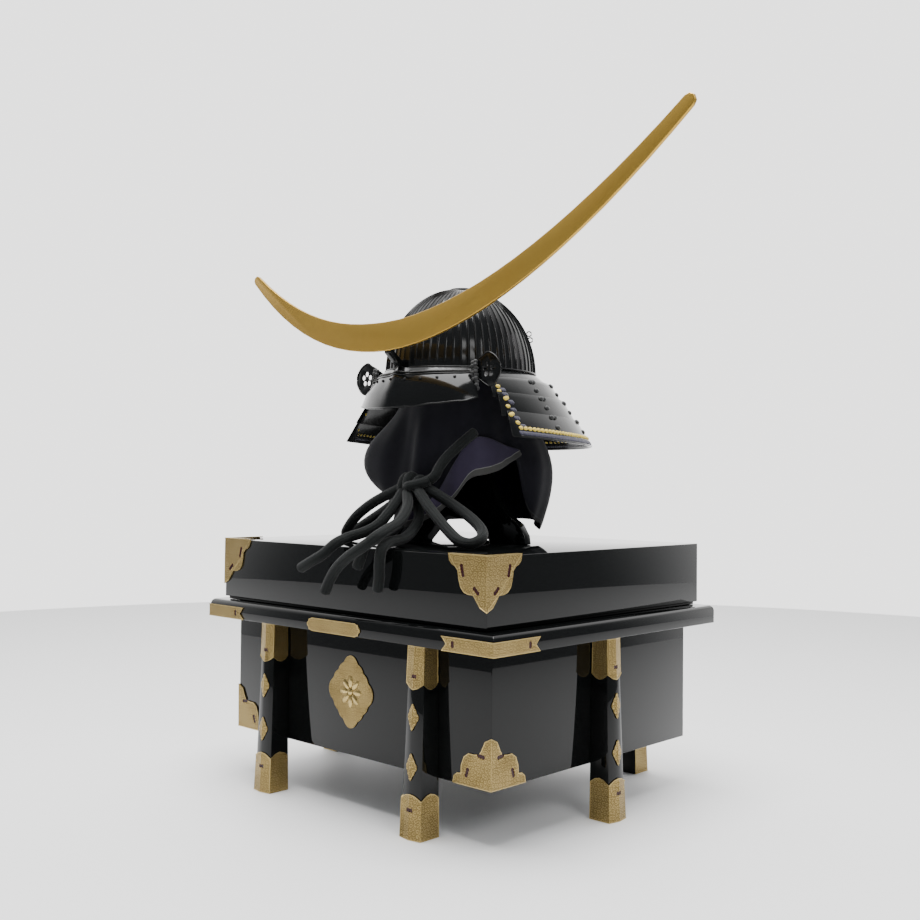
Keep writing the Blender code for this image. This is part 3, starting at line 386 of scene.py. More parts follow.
# Lacquered chest.
# Boards under many coats of black lacquer, rubbed to a mirror: a deep lid, a moulded ledge
# round the body, and six posts that spread towards their feet.
LACQUER_EDGE, POST_EDGE, STAND_EDGE = 0.0010, 0.0008, 0.0015
LACQUER_IOR = 1.32
WELD, FLAT_ANGLE = 0.00001, math.radians(0.5)


def grime_group():
    """Faint marks of handling and dust: a soft mask and a fine one."""
    group, given, wanted = new_group("handling_marks", {"Size": 14.0}, ("Smear", "Dust"))
    place = node(group, "TexCoord").outputs["Object"]
    soft = node(group, "TexNoise", Vector=place, Scale=given["Size"], Detail=5.0, Roughness=0.6)
    fine = grain(group, times(group, given["Size"], 45.0))
    group.links.new(spread(group, soft.outputs["Fac"], 0.42, 0.72), wanted["Smear"])
    group.links.new(spread(group, fine, 0.60, 0.78), wanted["Dust"])
    return group


def wear_group():
    """Edges rubbed bright: a mask where the rounded normal leaves the face's own."""
    group, given, wanted = new_group("rubbed_edges", {"Radius": 0.0015, "Reach": 8.0}, ("Edge",))
    soft = node(group, "Bevel", {"samples": 6}, Radius=given["Radius"])
    dot = node(group, "VectorMath", {"operation": "DOT_PRODUCT"}, _0=soft.outputs[0],
               _1=node(group, "NewGeometry").outputs["Normal"])
    lift = times(group, sum_of(group, "SUBTRACT", 1.0, dot.outputs["Value"]), given["Reach"])
    mask = times(group, lift, sum_of(group, "ADD", grain(group, 260.0, 3.0), 0.35))
    group.links.new(node(group, "Clamp", Value=mask).outputs[0], wanted["Edge"])
    return group


HANDLING_MARKS = grime_group()
RUBBED_EDGES = wear_group()


def lacquered(name, colour, roughness, edge_tint, smear=0.05):
    """Black lacquer: gloss broken by smears and dust, and edges rubbed a little brown."""
    made, tree, surface = new_finish(name, colour, roughness, {"IOR": LACQUER_IOR})
    marks = pattern(tree, HANDLING_MARKS, Size=9.0)
    edges = pattern(tree, RUBBED_EDGES, Radius=0.0012, Reach=2.0)
    toned(tree, edges["Edge"], colour, edge_tint)
    rough = sum_of(tree, "MULTIPLY_ADD", marks["Smear"], smear, roughness)
    tree.links.new(sum_of(tree, "MULTIPLY_ADD", marks["Dust"], smear, rough), surface["Roughness"])
    raised(tree, grain(tree, 22.0), 0.012, 0.002)
    return made


BLACK_LACQUER = lacquered("black_lacquer", (0.0030, 0.0034, 0.0034), 0.022, (0.020, 0.014, 0.010),
                          smear=0.02)


def apply_all(piece):
    """Apply a piece's modifiers in order."""
    only(piece)
    for modifier in list(piece.modifiers):
        bpy.ops.object.modifier_apply(modifier=modifier.name)


def edit_all(piece, *steps):
    """Select all of a piece in edit mode and run the steps there: operators and their settings."""
    only(piece)
    bpy.ops.object.mode_set(mode="EDIT")
    bpy.ops.mesh.select_all(action="SELECT")
    for operator, settings in steps:
        operator(**settings)
    bpy.ops.object.mode_set(mode="OBJECT")


def remade(cad_node, name, material, slot):
    """A copy of a CAD node's shape, merged, with its flat faces whole, that stands for it."""
    made = placed(name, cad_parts[cad_node].data.copy())
    made.data.materials.clear()
    made.data.materials.append(material)
    edit_all(made, (bpy.ops.mesh.remove_doubles, {"threshold": WELD}),
             (bpy.ops.mesh.dissolve_limited, {"angle_limit": FLAT_ANGLE}))
    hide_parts(cad_node)
    on_root(made)
    return made


def rounded(piece, width, segments=3, corner=30.0, smooth=35.0):
    """Round a piece's edges and shade it smooth up to its corners."""
    bevel = piece.modifiers.new("rounding", "BEVEL")
    bevel.width, bevel.segments = width, segments
    bevel.limit_method, bevel.angle_limit = "ANGLE", math.radians(corner)
    bevel.use_clamp_overlap = True
    apply_all(piece)
    bpy.ops.object.shade_smooth_by_angle(angle=math.radians(smooth))


def boards(cad_node, name, width):
    """A wooden piece with its edges eased and its coats of lacquer."""
    rounded(remade(cad_node, name, BLACK_LACQUER, "black_lacquer"), width)


for part in ("body", "ledge", "lid"):
    boards("chest_" + part, "lacquered_" + part, LACQUER_EDGE)
LEG_NAMES = [f"{end}_{side}" for end in ("front", "back", "side") for side in ("left", "right")]
for leg in LEG_NAMES:
    boards("leg_" + leg, "post_" + leg, POST_EDGE)
for board in ("across", "along"):
    boards("stand_board_" + board, "stand_" + board, STAND_EDGE)


# Gilt fittings.
# Sheet brass cut to lobed outlines, chased with scrolls on a punched ground, gilded, and
# nailed over the chest's corners, ledge and posts. Pierced slots show dark red.
GILT = 0.0012
SCROLL_SHADE, GROUND_SHADE, SMEAR_SHADE = 0.8, 0.25, 0.25


def scroll_group():
    """Chased scrollwork in the plane of the face: curls in cells, on a punched ground."""
    group, given, wanted = new_group("chased_scrolls", {"Size": 120.0}, ("Line", "Ground"))
    place = node(group, "SeparateXYZ", _0=node(group, "TexCoord").outputs["Object"]).outputs
    facing = node(group, "SeparateXYZ", _0=node(group, "NewGeometry").outputs["True Normal"]).outputs
    tilt = {way: sum_of(group, "ABSOLUTE", facing[way]) for way in "XYZ"}
    sideways = sum_of(group, "GREATER_THAN", tilt["X"], tilt["Y"])
    flat = sum_of(group, "GREATER_THAN", tilt["Z"], 0.75)
    h = node(group, "Mix", {"data_type": "FLOAT"}, Factor=sideways, _2=place["X"], _3=place["Y"])
    v = node(group, "Mix", {"data_type": "FLOAT"}, Factor=flat, _2=place["Z"], _3=place["Y"])
    spot = node(group, "CombineXYZ", X=times(group, h.outputs[0], given["Size"]),
                Y=times(group, v.outputs[0], given["Size"])).outputs[0]

    def cells(settings, **values):
        return node(group, "TexVoronoi", {"voronoi_dimensions": "2D", **settings}, Vector=spot,
                    **values).outputs

    cell = cells({}, Scale=1.0, Randomness=0.65)
    away = node(group, "VectorMath", {"operation": "SUBTRACT"}, _0=spot, _1=cell["Position"])
    parts = node(group, "SeparateXYZ", _0=away.outputs[0]).outputs
    turn = sum_of(group, "ARCTAN2", parts["Y"], parts["X"])
    curl = sum_of(group, "SINE", sum_of(group, "MULTIPLY_ADD", cell["Distance"], 15.0, turn))
    line = spread(group, curl, -0.1, 0.5, soft=True)
    edge = cells({"feature": "DISTANCE_TO_EDGE"}, Scale=1.0, Randomness=0.65)
    stem = spread(group, edge["Distance"], 0.03, 0.10, soft=True)
    group.links.new(times(group, line, stem), wanted["Line"])
    dots = cells({}, Scale=7.0, Randomness=0.5)
    group.links.new(spread(group, dots["Distance"], 0.15, 0.5), wanted["Ground"])
    return group


CHASED_SCROLLS = scroll_group()


def gilded(name, bright, deep, relief_depth, size=120.0, roughness=0.34):
    """Chased and gilded brass: darker in the ground, bright on scrolls and rubbed edges."""
    made, tree, surface = new_finish(name, bright, roughness, {"Metallic": 0.95})
    scroll = pattern(tree, CHASED_SCROLLS, Size=size)
    edges = pattern(tree, RUBBED_EDGES, Radius=0.0010, Reach=5.0)
    smear = pattern(tree, HANDLING_MARKS, Size=40.0)["Smear"]
    ground = sum_of(tree, "MULTIPLY_ADD", scroll["Ground"], GROUND_SHADE, scroll["Line"])
    lit = sum_of(tree, "ADD", times(tree, ground, SCROLL_SHADE), edges["Edge"])
    toned(tree, sum_of(tree, "SUBTRACT", node(tree, "Clamp", Value=lit).outputs[0],
                       times(tree, smear, SMEAR_SHADE)), deep, bright)
    tree.links.new(sum_of(tree, "MULTIPLY_ADD", smear, 0.15, roughness), surface["Roughness"])
    raised(tree, ground, 0.9, relief_depth)
    return made


CHASED_GILT = gilded("chased_gilt", (0.48, 0.355, 0.145), (0.18, 0.125, 0.043), 0.00015,
                     size=175.0)
PLAIN_GILT = gilded("plain_gilt", (0.53, 0.40, 0.17), (0.45, 0.335, 0.13), 0.00001,
                    roughness=0.26)
WINE_LACQUER = lacquered("wine_lacquer", (0.030, 0.004, 0.006), 0.25, (0.05, 0.01, 0.01))

# Pierced slots: the radius of their holes, the step between two, and half the cutter's depth
HOLE, HOLE_STEP, PIERCING = 0.0027, 0.0037, 0.0009
NAIL, SLOT_SUNK = 0.0011, 0.0004
# Fittings: the plain rim, the step down inside it, and the least share of a wide face
RIM, RIM_STEP, SINK, WIDE_SHARE = 0.0009, 0.00025, 0.00035, 0.02


def pick_outer(mesh, least, chased_only=False):
    """Select a fitting's wide faces that look outwards, in edit mode."""
    work = bmesh.from_edit_mesh(mesh)
    for face in work.faces:
        place = face.calc_center_median()
        out = Vector((place.x - AXIS, place.y, 0.0))
        wide = face.calc_area() > least and not (chased_only and face.material_index)
        face.select = wide and face.normal.dot(out) > 0 and abs(face.normal.z) < 0.5
    bmesh.update_edit_mesh(mesh)


def fitting(cad_node, name):
    """A gilt plate: its face sunk inside a plain rim."""
    made = remade(cad_node, name, CHASED_GILT, "gilt_brass")
    made.data.materials.append(PLAIN_GILT)
    made.data.materials.append(WINE_LACQUER)
    least = WIDE_SHARE * max(face.area for face in made.data.polygons)
    bpy.ops.object.mode_set(mode="EDIT")
    bpy.ops.mesh.select_mode(type="FACE")
    bpy.ops.mesh.select_all(action="DESELECT")
    pick_outer(made.data, least)
    bpy.ops.mesh.inset(thickness=RIM, depth=0.0, use_boundary=True, use_select_inset=True)
    work = bmesh.from_edit_mesh(made.data)
    for face in work.faces:
        if face.select:
            face.material_index = 1
    bmesh.update_edit_mesh(made.data)
    bpy.ops.mesh.select_all(action="INVERT")
    pick_outer(made.data, least, chased_only=True)
    bpy.ops.mesh.inset(thickness=RIM_STEP, depth=-SINK)
    bpy.ops.object.mode_set(mode="OBJECT")
    return made


def set_on(point, out, turn=0.0):
    """A place on a surface: the shape's Z points out of it and its Y up along it."""
    out = Vector(out).normalized()
    side = Vector((0.0, 0.0, 1.0)).cross(out).normalized()
    grid = Matrix((side, out.cross(side), out)).transposed().to_4x4()
    return Matrix.Translation(point) @ grid @ Matrix.Rotation(math.radians(turn), 4, "Z")


def pin_shape(name, across, tall, high, segments=10, rings=6):
    """A small domed head, kept as a mesh to copy from."""
    bpy.ops.object.select_all(action="DESELECT")
    bpy.ops.mesh.primitive_uv_sphere_add(segments=segments, ring_count=rings, radius=1.0)
    made = bpy.context.object
    made.name = name
    made.data.transform(Matrix.Diagonal((across, tall, high, 1.0)))
    shape = made.data
    bpy.data.objects.remove(made)
    return shape


def copies(name, shape, places, material, slot):
    """One mesh of many copies of a small shape, each at its own place."""
    work = bmesh.new()
    for place in places:
        start = len(work.verts)
        work.from_mesh(shape)
        work.verts.ensure_lookup_table()
        bmesh.ops.transform(work, matrix=place, verts=work.verts[start:])
    mesh = bpy.data.meshes.new(name)
    work.to_mesh(mesh)
    work.free()
    mesh.polygons.foreach_set("use_smooth", [True] * len(mesh.polygons))
    mesh.materials.append(material)
    on_root(placed(name, mesh))


NAIL_HEAD = pin_shape("nail_head", NAIL, NAIL, NAIL * 0.6)


def pierced(plate, spots):
    """Cut rows of holes in a plate, lined in wine lacquer; a spot is place, outward way, turn
    and how many holes."""
    cutters = []
    for point, out, turn, count in spots:
        for k in range(count):
            along = (k - (count - 1) / 2) * HOLE_STEP
            place = set_on(point, out, turn) @ Matrix.Translation((along, 0.0, 0.0))
            bpy.ops.object.select_all(action="DESELECT")
            bpy.ops.mesh.primitive_cylinder_add(vertices=12, radius=HOLE, depth=2 * PIERCING)
            hole = bpy.context.object
            hole.data.transform(place)
            hole.data.materials.append(WINE_LACQUER)
            cutters.append(hole)
    cutter = joined("slot_cutter", cutters)
    change = plate.modifiers.new("slots", "BOOLEAN")
    change.object = cutter
    change.use_self = True
    change.material_mode = "TRANSFER"
    apply_all(plate)
    bpy.data.objects.remove(cutter)


nails = []
LEDGE_LOW, LEDGE_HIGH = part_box("chest_ledge")
BODY_LOW, BODY_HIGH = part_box("chest_body")
# Each corner's slots: run from the corner, height over the lid, turn, holes
LID_SLOTS = ((0.0383, -0.0180, 76.0, 4), (0.0156, -0.0408, 42.0, 3))
BODY_SLOTS = ((0.0152, -0.2382, 8.0, 3), (0.0378, -0.2612, -72.0, 3))
LEDGE_SLOTS = ((0.0640, -0.1047, 90.0, 2),)


def corner_spots(low, high, side, table):
    """The spots on both halves of a corner plate, with nails beside each slot."""
    spots = []
    corner_x = high.x if side > 0 else low.x
    for run, height, turn, holes in table:
        front = Vector((corner_x - side * run, low.y - CAD_GAP - GILT, LID_TOP + height))
        flank = Vector((corner_x + side * (CAD_GAP + GILT), low.y + run, LID_TOP + height))
        for point, out, way in ((front, (0, -1, 0), side), (flank, (side, 0, 0), -side)):
            spots.append((point, out, -way * turn, holes))
            for k in range(holes - 1):
                along = (k - (holes - 2) / 2) * HOLE_STEP
                beside = Matrix.Translation((along, -1.35 * HOLE if turn > 0 else 1.35 * HOLE, 0.0))
                nails.append(set_on(point, out, -way * turn) @ beside)
    return spots


for side_name, side in (("left", 1), ("right", -1)):
    plate = fitting("lid_corner_" + side_name, "lid_fitting_" + side_name)
    pierced(plate, corner_spots(LID_LOW, LID_HIGH, side, LID_SLOTS))
    plate = fitting("body_corner_" + side_name, "body_fitting_" + side_name)
    pierced(plate, corner_spots(BODY_LOW, BODY_HIGH, side, BODY_SLOTS))
    plate = fitting("ledge_strip_" + side_name, "ledge_band_" + side_name)
    pierced(plate, corner_spots(LEDGE_LOW, LEDGE_HIGH, side, LEDGE_SLOTS))
fitting("ledge_plaque", "ledge_plate")

# Posts: half width and depth at the top and at the foot, the arris, and the fittings' heights
POST_TOP = (0.013, 0.024)
POST_FOOT = (0.017, 0.032)
POST_ARRIS = 0.0035
DIAMOND_HALF = (0.0088, 0.0165)
DIAMOND_HEIGHTS = (0.0875, 0.1475)
DIAMOND_GAUGE = 0.0009
CAP_SLOT_HEIGHTS = {"cap_top_": 0.1971, "cap_foot_": 0.0362}
POST_TURNS = {"front": 0.0, "back": 180.0, "side_left": 90.0, "side_right": -90.0}


def post_place(leg):
    """The matrix from a post's own frame, X across and -Y outwards, to the model's."""
    low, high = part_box("leg_" + leg)
    turn = POST_TURNS.get(leg, POST_TURNS.get(leg.split("_")[0]))
    x = {90.0: BODY_HIGH.x + CAD_GAP, -90.0: BODY_LOW.x - CAD_GAP}.get(turn, (low.x + high.x) / 2)
    y = {0.0: BODY_LOW.y - CAD_GAP, 180.0: BODY_HIGH.y + CAD_GAP}.get(turn, 0.0)
    return Matrix.Translation((x, y, 0.0)) @ Matrix.Rotation(math.radians(turn), 4, "Z")


def post_size(height):
    """A post's half width and its depth at a height."""
    share = height / (LEDGE_LOW.z - CAD_GAP)
    return [foot + (top - foot) * share for top, foot in zip(POST_TOP, POST_FOOT)]


def post_face(across, height, grow=0.0):
    """A point on the post's folded outer face."""
    half, deep = post_size(height)
    return Vector((across, -deep - POST_ARRIS * (1 - abs(across) / half) - grow, height))


def diamond(middle):
    """A lozenge of sheet with scalloped sides, folded on the arris."""
    wide, tall = DIAMOND_HALF
    side = []
    for k in range(25):
        share = k / 24
        scallop = 0.0010 * abs(math.sin(math.pi * share * 6)) * math.sin(math.pi * share) ** 0.5
        side.append((wide * (1 - abs(2 * share - 1)) + scallop, tall * (1 - 2 * share)))
    points = [post_face(x, middle + z, CAD_GAP + 0.0001) for x, z in side]
    left = [post_face(-x, middle + z, CAD_GAP + 0.0001) for x, z in side[1:-1]]
    count = len(points)
    faces = [tuple(range(count)), (0, *range(count, count + len(left)), count - 1)]
    return points + left, faces


def thickened(piece, thickness, offset=1.0):
    """Give a sheet its thickness."""
    shell = piece.modifiers.new("sheet", "SOLIDIFY")
    shell.thickness, shell.offset = thickness, offset
    apply_all(piece)


# The nails of a post's two caps: share of the half width, and height
CAP_NAILS = ((-0.8, 0.006), (0.8, 0.006), (-0.8, 0.041), (0.8, 0.041), (0.0, 0.049),
             (-0.8, 0.228), (0.8, 0.228), (0.0, 0.187))


def post_fittings(leg):
    """A post's two caps, its two lozenges, and their nails."""
    place = post_place(leg)
    out = place.to_3x3() @ Vector((0.0, -1.0, 0.0))
    for cap in ("cap_top_", "cap_foot_"):
        plate = fitting(cap + leg, ("post_collar_" if cap == "cap_top_" else "post_shoe_") + leg)
        spot = place @ post_face(0.0, CAP_SLOT_HEIGHTS[cap], CAD_GAP + GILT - SLOT_SUNK)
        pierced(plate, [(spot, out, 0.0, 3)])
    for k, middle in enumerate(DIAMOND_HEIGHTS):
        points, faces = diamond(middle)
        made = mesh_piece(f"post_diamond_{leg}_{k}", [place @ point for point in points], faces,
                          CHASED_GILT, smooth=False)
        edit_all(made, (bpy.ops.mesh.normals_make_consistent, {"inside": False}))
        if made.data.polygons[0].normal.dot(out) < 0:
            made.data.flip_normals()
        thickened(made, DIAMOND_GAUGE)
        on_root(made)
        nails.append(set_on(place @ post_face(0.0, middle, DIAMOND_GAUGE + CAD_GAP), out))
        for j in range(1, 12, 2):
            share = j / 12
            x = DIAMOND_HALF[0] * (1 - abs(2 * share - 1)) - 0.0004
            z = middle + DIAMOND_HALF[1] * (1 - 2 * share)
            nails.extend(set_on(place @ post_face(way * x, z, DIAMOND_GAUGE + CAD_GAP), out)
                         for way in (-1, 1))
    for across, height in CAP_NAILS:
        spot = post_face(across * post_size(height)[0], height, CAD_GAP + GILT)
        nails.append(set_on(place @ spot, out))


for leg in LEG_NAMES:
    post_fittings(leg)


# Front ornament.
# A lozenge of gilt sheet with scalloped sides, set in the middle of the chest's front and
# raised in a plain boss with eight petals.
ORNAMENT_HALF = (0.044, 0.048)
ORNAMENT_HEIGHT = LID_TOP - 0.1935
ORNAMENT_BEND, ORNAMENT_LOBE = 1.2, 0.05
PETALS, PETAL_PLACE = 8, 0.0130


def ornament():
    wide, tall = ORNAMENT_HALF
    outline = []
    for k in range(128):
        a = 2 * math.pi * k / 128
        fullness = abs(math.cos(a)) ** ORNAMENT_BEND + abs(math.sin(a)) ** ORNAMENT_BEND
        lobed = fullness ** (-1 / ORNAMENT_BEND) * (1 + ORNAMENT_LOBE * abs(math.sin(8 * a)))
        outline.append((AXIS + wide * lobed * math.cos(a), BODY_LOW.y - CAD_GAP,
                        ORNAMENT_HEIGHT + tall * lobed * math.sin(a)))
    made = mesh_piece("front_ornament", outline, [tuple(range(128))], CHASED_GILT, smooth=False)
    if made.data.polygons[0].normal.y > 0:
        made.data.flip_normals()
    made.data.materials.append(PLAIN_GILT)
    edit_all(made, (bpy.ops.mesh.inset, {"thickness": 0.0016, "depth": 0.0}))
    thickened(made, GILT)
    on_root(made)
    middle = set_on(Vector((AXIS, BODY_LOW.y - CAD_GAP - GILT, ORNAMENT_HEIGHT)), (0, -1, 0))
    petal = pin_shape("ornament_petal", 0.0042, 0.0085, 0.0016, segments=16, rings=8)
    boss = pin_shape("ornament_boss", 0.0050, 0.0050, 0.0030, segments=24, rings=12)
    places = [middle @ Matrix.Rotation(2 * math.pi * k / PETALS, 4, "Z")
              @ Matrix.Translation((0.0, PETAL_PLACE, 0.0)) for k in range(PETALS)]
    copies("ornament_petals", petal, places, PLAIN_GILT, "gilt_brass")
    copies("ornament_boss", boss, [middle], PLAIN_GILT, "gilt_brass")


ornament()
copies("gilt_nails", NAIL_HEAD, nails, PLAIN_GILT, "gilt_brass")


# Helmet bowl.
# Sixty-two iron plates, each turned up along one edge in a standing rib, riveted side by side
# and lacquered black. They meet at a small ring at the crown.
BOWL_SIDE = 0.1014
BOWL_FRONT = 0.1166
BOWL_RIM = 0.2438
BOWL_RISE = 0.125
BOWL_WALL = 0.002
RIBS = 62
RIB_HEIGHT = 0.0016
RIB_SHAPE = ((0.0, 1.0), (0.07, 0.75), (0.13, 0.12), (0.30, 0.0), (0.55, 0.10), (0.80, 0.0),
             (0.90, 0.15), (0.95, 0.80))

HELMET_LACQUER = lacquered("helmet_lacquer", (0.0036, 0.0040, 0.0042), 0.10,
                           (0.022, 0.018, 0.014), smear=0.08)
IRON = HELMET_LACQUER, "lacquered_iron"


def bowl_point(angle, lift, grow):
    """A point on the bowl: angle from the front, lift from rim to crown, and height off it."""
    a, t = math.radians(angle), math.radians(lift)
    flat = math.cos(t)
    return over_lid(((BOWL_SIDE + grow) * flat * math.sin(a), -(BOWL_FRONT + grow) * flat * math.cos(a),
                     BOWL_RIM + (BOWL_RISE + grow) * math.sin(t)))


def ribbed_bowl():
    """The plates as one shell: rings of points from rim to crown, ribs and all."""
    lifts = [0.0, 1.5] + [4.0 + 82.0 * k / 26 for k in range(27)]
    columns = [(k + share, rib) for k in range(RIBS) for share, rib in RIB_SHAPE]
    points, count = [], len(columns)
    for lift in lifts:
        fade = min(1.0, (90.0 - lift) / 22.0)
        for column, rib in columns:
            points.append(bowl_point(360.0 * column / RIBS, lift, RIB_HEIGHT * rib * fade))
    faces = skin(len(lifts), count)
    crown, top = len(points), len(points) - count
    points.append(bowl_point(0.0, 90.0, 0.0))
    faces += [(top + k, top + (k + 1) % count, crown) for k in range(count)]
    made = mesh_piece("ribbed_bowl", points, faces, HELMET_LACQUER)
    thickened(made, BOWL_WALL, offset=-1.0)
    bpy.ops.object.shade_smooth_by_angle(angle=math.radians(50.0))
    return made


bowl = ribbed_bowl()
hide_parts("helmet_bowl")
on_root(bowl)


def bead(name, line, radius, sides=10, closed=True):
    """A round iron moulding along a line of points, closed on itself or with plain ends."""
    count, points = len(line), []
    for i, point in enumerate(line):
        before = line[(i - 1) % count] if closed else line[max(i - 1, 0)]
        after = line[(i + 1) % count] if closed else line[min(i + 1, count - 1)]
        ahead = (after - before).normalized()
        side = ahead.cross(Vector((0.0, 0.0, 1.0))).normalized()
        points += ring_round(point, side, side.cross(ahead), radius, sides)
    made = mesh_piece(name, points, skin(count, sides, closed, not closed), HELMET_LACQUER)
    edit_all(made, (bpy.ops.mesh.normals_make_consistent, {"inside": False}))
    on_root(made)


bead("bowl_band", [bowl_point(2.0 * k, 0.6, RIB_HEIGHT) for k in range(180)], 0.0013)
CROWN_RING = 0.0165
CROWN_HEIGHT = BOWL_RIM + BOWL_RISE
crown_line = ring_round(over_lid((0.0, 0.0, CROWN_HEIGHT - 0.0010)), Vector((0.0, -1.0, 0.0)),
                        Vector((1.0, 0.0, 0.0)), CROWN_RING, 48)
bead("crown_ring", crown_line, 0.0022)
copies("crown_boss", pin_shape("crown_boss", 0.0150, 0.0150, 0.0030, segments=32, rings=12),
       [Matrix.Translation(over_lid((0.0, 0.0, CROWN_HEIGHT - 0.0006)))], *IRON)

LOOP_SPOTS = ((0.0686, 0.0700, 0.3057), (0.0700, 0.0712, 0.2967))
LOOP_RADIUS, LOOP_STAND_OFF = 0.0035, 0.0015
for k, spot in enumerate(LOOP_SPOTS):
    outward = Vector((spot[0], spot[1], 0.0)).normalized()
    middle = over_lid(Vector(spot) + outward * LOOP_STAND_OFF)
    bead(f"rear_loop_{k}", ring_round(middle, outward, Vector((0.0, 0.0, 1.0)), LOOP_RADIUS, 20),
         0.0009, sides=8)


# Crest.
# A long crescent cut from board, longer and higher on the wearer's left, its edges softened
# and covered in satin gold. A forged prong on the visor's root holds it clear of the bowl.
GOLD, WORN_GOLD = (0.50, 0.31, 0.060), (0.44, 0.265, 0.048)


def satin_gold():
    """Gold leaf under a thin coat: a little deeper where hands have been, with a fine grain."""
    made, tree, surface = new_finish("satin_gold", GOLD, 0.36, {"Metallic": 0.85})
    smear = pattern(tree, HANDLING_MARKS, Size=16.0)["Smear"]
    toned(tree, smear, GOLD, WORN_GOLD)
    tree.links.new(sum_of(tree, "MULTIPLY_ADD", smear, 0.08, 0.34), surface["Roughness"])
    raised(tree, grain(tree, 700.0, 3.0), 0.12, 0.0002)
    return made


rounded(remade("crest", "crescent_crest", satin_gold(), "crest_gold"), 0.0012, corner=60.0,
        smooth=45.0)
rounded(remade("crest_prong", "crest_holder", *IRON), 0.0006)


# Visor.
# One hammered plate riveted round the bowl's front, with a soft ridge down its middle. A rope
# moulding and rivets cover its root, and a bead is rolled round its rim.
VISOR_REACH = 0.1512
VISOR_FOOT = 0.188
VISOR_RIDGE = 0.0055
IRON_SHEET = 0.0016
# Visor rim: angle from the front, reach from the axis and height, as shares of the front's
VISOR_RIM = ((0.0, 1.0, -0.02), (18.0, 0.973, 0.01), (28.0, 0.962, 0.068), (44.0, 0.965, 0.127),
             (53.0, 0.926, 0.233))
# How far the visor's edges and its rope reach to each side, the rope's step and lay, all in
# degrees, and the levels of the moulding, the rope and the rivets
VISOR_SPAN, ROPE_SPAN, ROPE_STEP, ROPE_LAY = 52.5, 51.0, 0.9, 35.0
MOULDING_LEVEL, ROPE_LEVEL, RIVET_LEVEL, RIVET_EVERY = 0.20, 0.13, 0.32, 12


def soft_table(table, x, column):
    """Interpolation that eases in and out at each row of the table."""
    for low, high in zip(table, table[1:]):
        if x <= high[0]:
            share = max((x - low[0]) / (high[0] - low[0]), 0.0)
            share = share * share * (3 - 2 * share)
            return low[column] + (high[column] - low[column]) * share
    return table[-1][column]


def visor_point(angle, level, grow=0.0):
    """A point on the visor: angle from the front, level from its root (0) to its rim (1)."""
    a, turn = abs(angle), math.radians(angle)
    reach = VISOR_REACH * soft_table(VISOR_RIM, a, 1)
    height = VISOR_FOOT + (BOWL_RIM - VISOR_FOOT) * soft_table(VISOR_RIM, a, 2)
    rim = over_lid((reach * math.sin(turn), -reach * math.cos(turn), height))
    root = bowl_point(angle * 1.04, 0.0, RIB_HEIGHT + CAD_GAP + IRON_SHEET) + Vector((0, 0, CAD_GAP))
    point = root.lerp(rim, level)
    ridge = VISOR_RIDGE * (1 - level) * math.exp(-(a / 5.0) ** 2)
    out = Vector((math.sin(turn), -math.cos(turn), 0.35))
    return point + out * (0.005 * math.sin(math.pi * level) + ridge + grow)


rounded(remade("visor", "visor_plate", *IRON), 0.0004, corner=60.0, smooth=60.0)
visor_angles = [-VISOR_SPAN + 2 * VISOR_SPAN * k / 84 for k in range(85)]
for name, level, grow, radius in (("visor_rim", 0.995, -0.0003, 0.0014),
                                  ("visor_moulding", MOULDING_LEVEL, 0.0002, 0.0011)):
    bead(name, [visor_point(angle, level, grow) for angle in visor_angles], radius, closed=False)
strand_shape = pin_shape("rope_strand", 0.0013, 0.0023, 0.0011, segments=8, rings=5)
rope, rivets = [], []
for k in range(int(2 * ROPE_SPAN / ROPE_STEP)):
    angle = -ROPE_SPAN + ROPE_STEP * k
    out = Vector((math.sin(math.radians(angle)), -math.cos(math.radians(angle)), 0.7))
    rope.append(set_on(visor_point(angle, ROPE_LEVEL, 0.0003), out, ROPE_LAY))
    if k % RIVET_EVERY == RIVET_EVERY // 2:
        rivets.append(set_on(visor_point(angle, RIVET_LEVEL, 0.0004), out))
copies("visor_rope", strand_shape, rope, *IRON)
rivet_shape = pin_shape("iron_rivet", 0.0021, 0.0021, 0.0014, segments=14, rings=8)
copies("visor_rivets", rivet_shape, rivets, *IRON)


# Neck guard.
# Four lacquered iron lames round the sides and back, each hung outside the one above on knots
# of black lacing. Yellow silk stitches run down the front edges and along the foot, over a
# row of navy ones, and the last lame's foot is rolled.
GUARD_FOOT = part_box("neck_lame_4")[0].z - LID_TOP + 0.0006
GUARD_FRONT_LIFT = 0.017
GUARD_FRONT_ANGLE = 61.8
GUARD_SPREAD_ANGLE = 9.5
LACING_COLUMNS = (96.0, 129.0, 162.0, 198.0, 231.0, 264.0)
EDGE_STEP = GUARD_SPREAD_ANGLE / 4
LAME_FALLS = (0.19, 0.44, 0.715)
LACING_FALLS = ((0.16, True), (0.28, False), (0.40, True), (0.53, False), (0.66, True), (0.80, False))
EDGE_FALLS = (0.28, 0.35, 0.455, 0.57, 0.69, 0.80)
STITCH_STEP = 2.5
KNOT_PAIR = 1.35
YELLOW_OVER_FOOT, NAVY_OVER_FOOT, ROLL_OVER_FOOT = 0.0125, 0.0058, 0.0014

guard_shell = bmesh.new()
for k in range(1, 5):
    lame = remade(f"neck_lame_{k}", f"guard_lame_{k}", *IRON)
    rounded(lame, 0.0005, corner=60.0, smooth=40.0)
    guard_shell.from_mesh(lame.data)
guard_tree = BVHTree.FromBMesh(guard_shell)
guard_shell.free()


def foot_height(angle):
    """The guard's foot rises towards its front ends."""
    return GUARD_FOOT + GUARD_FRONT_LIFT * ((1 + math.cos(math.radians(angle))) / 2) ** 2


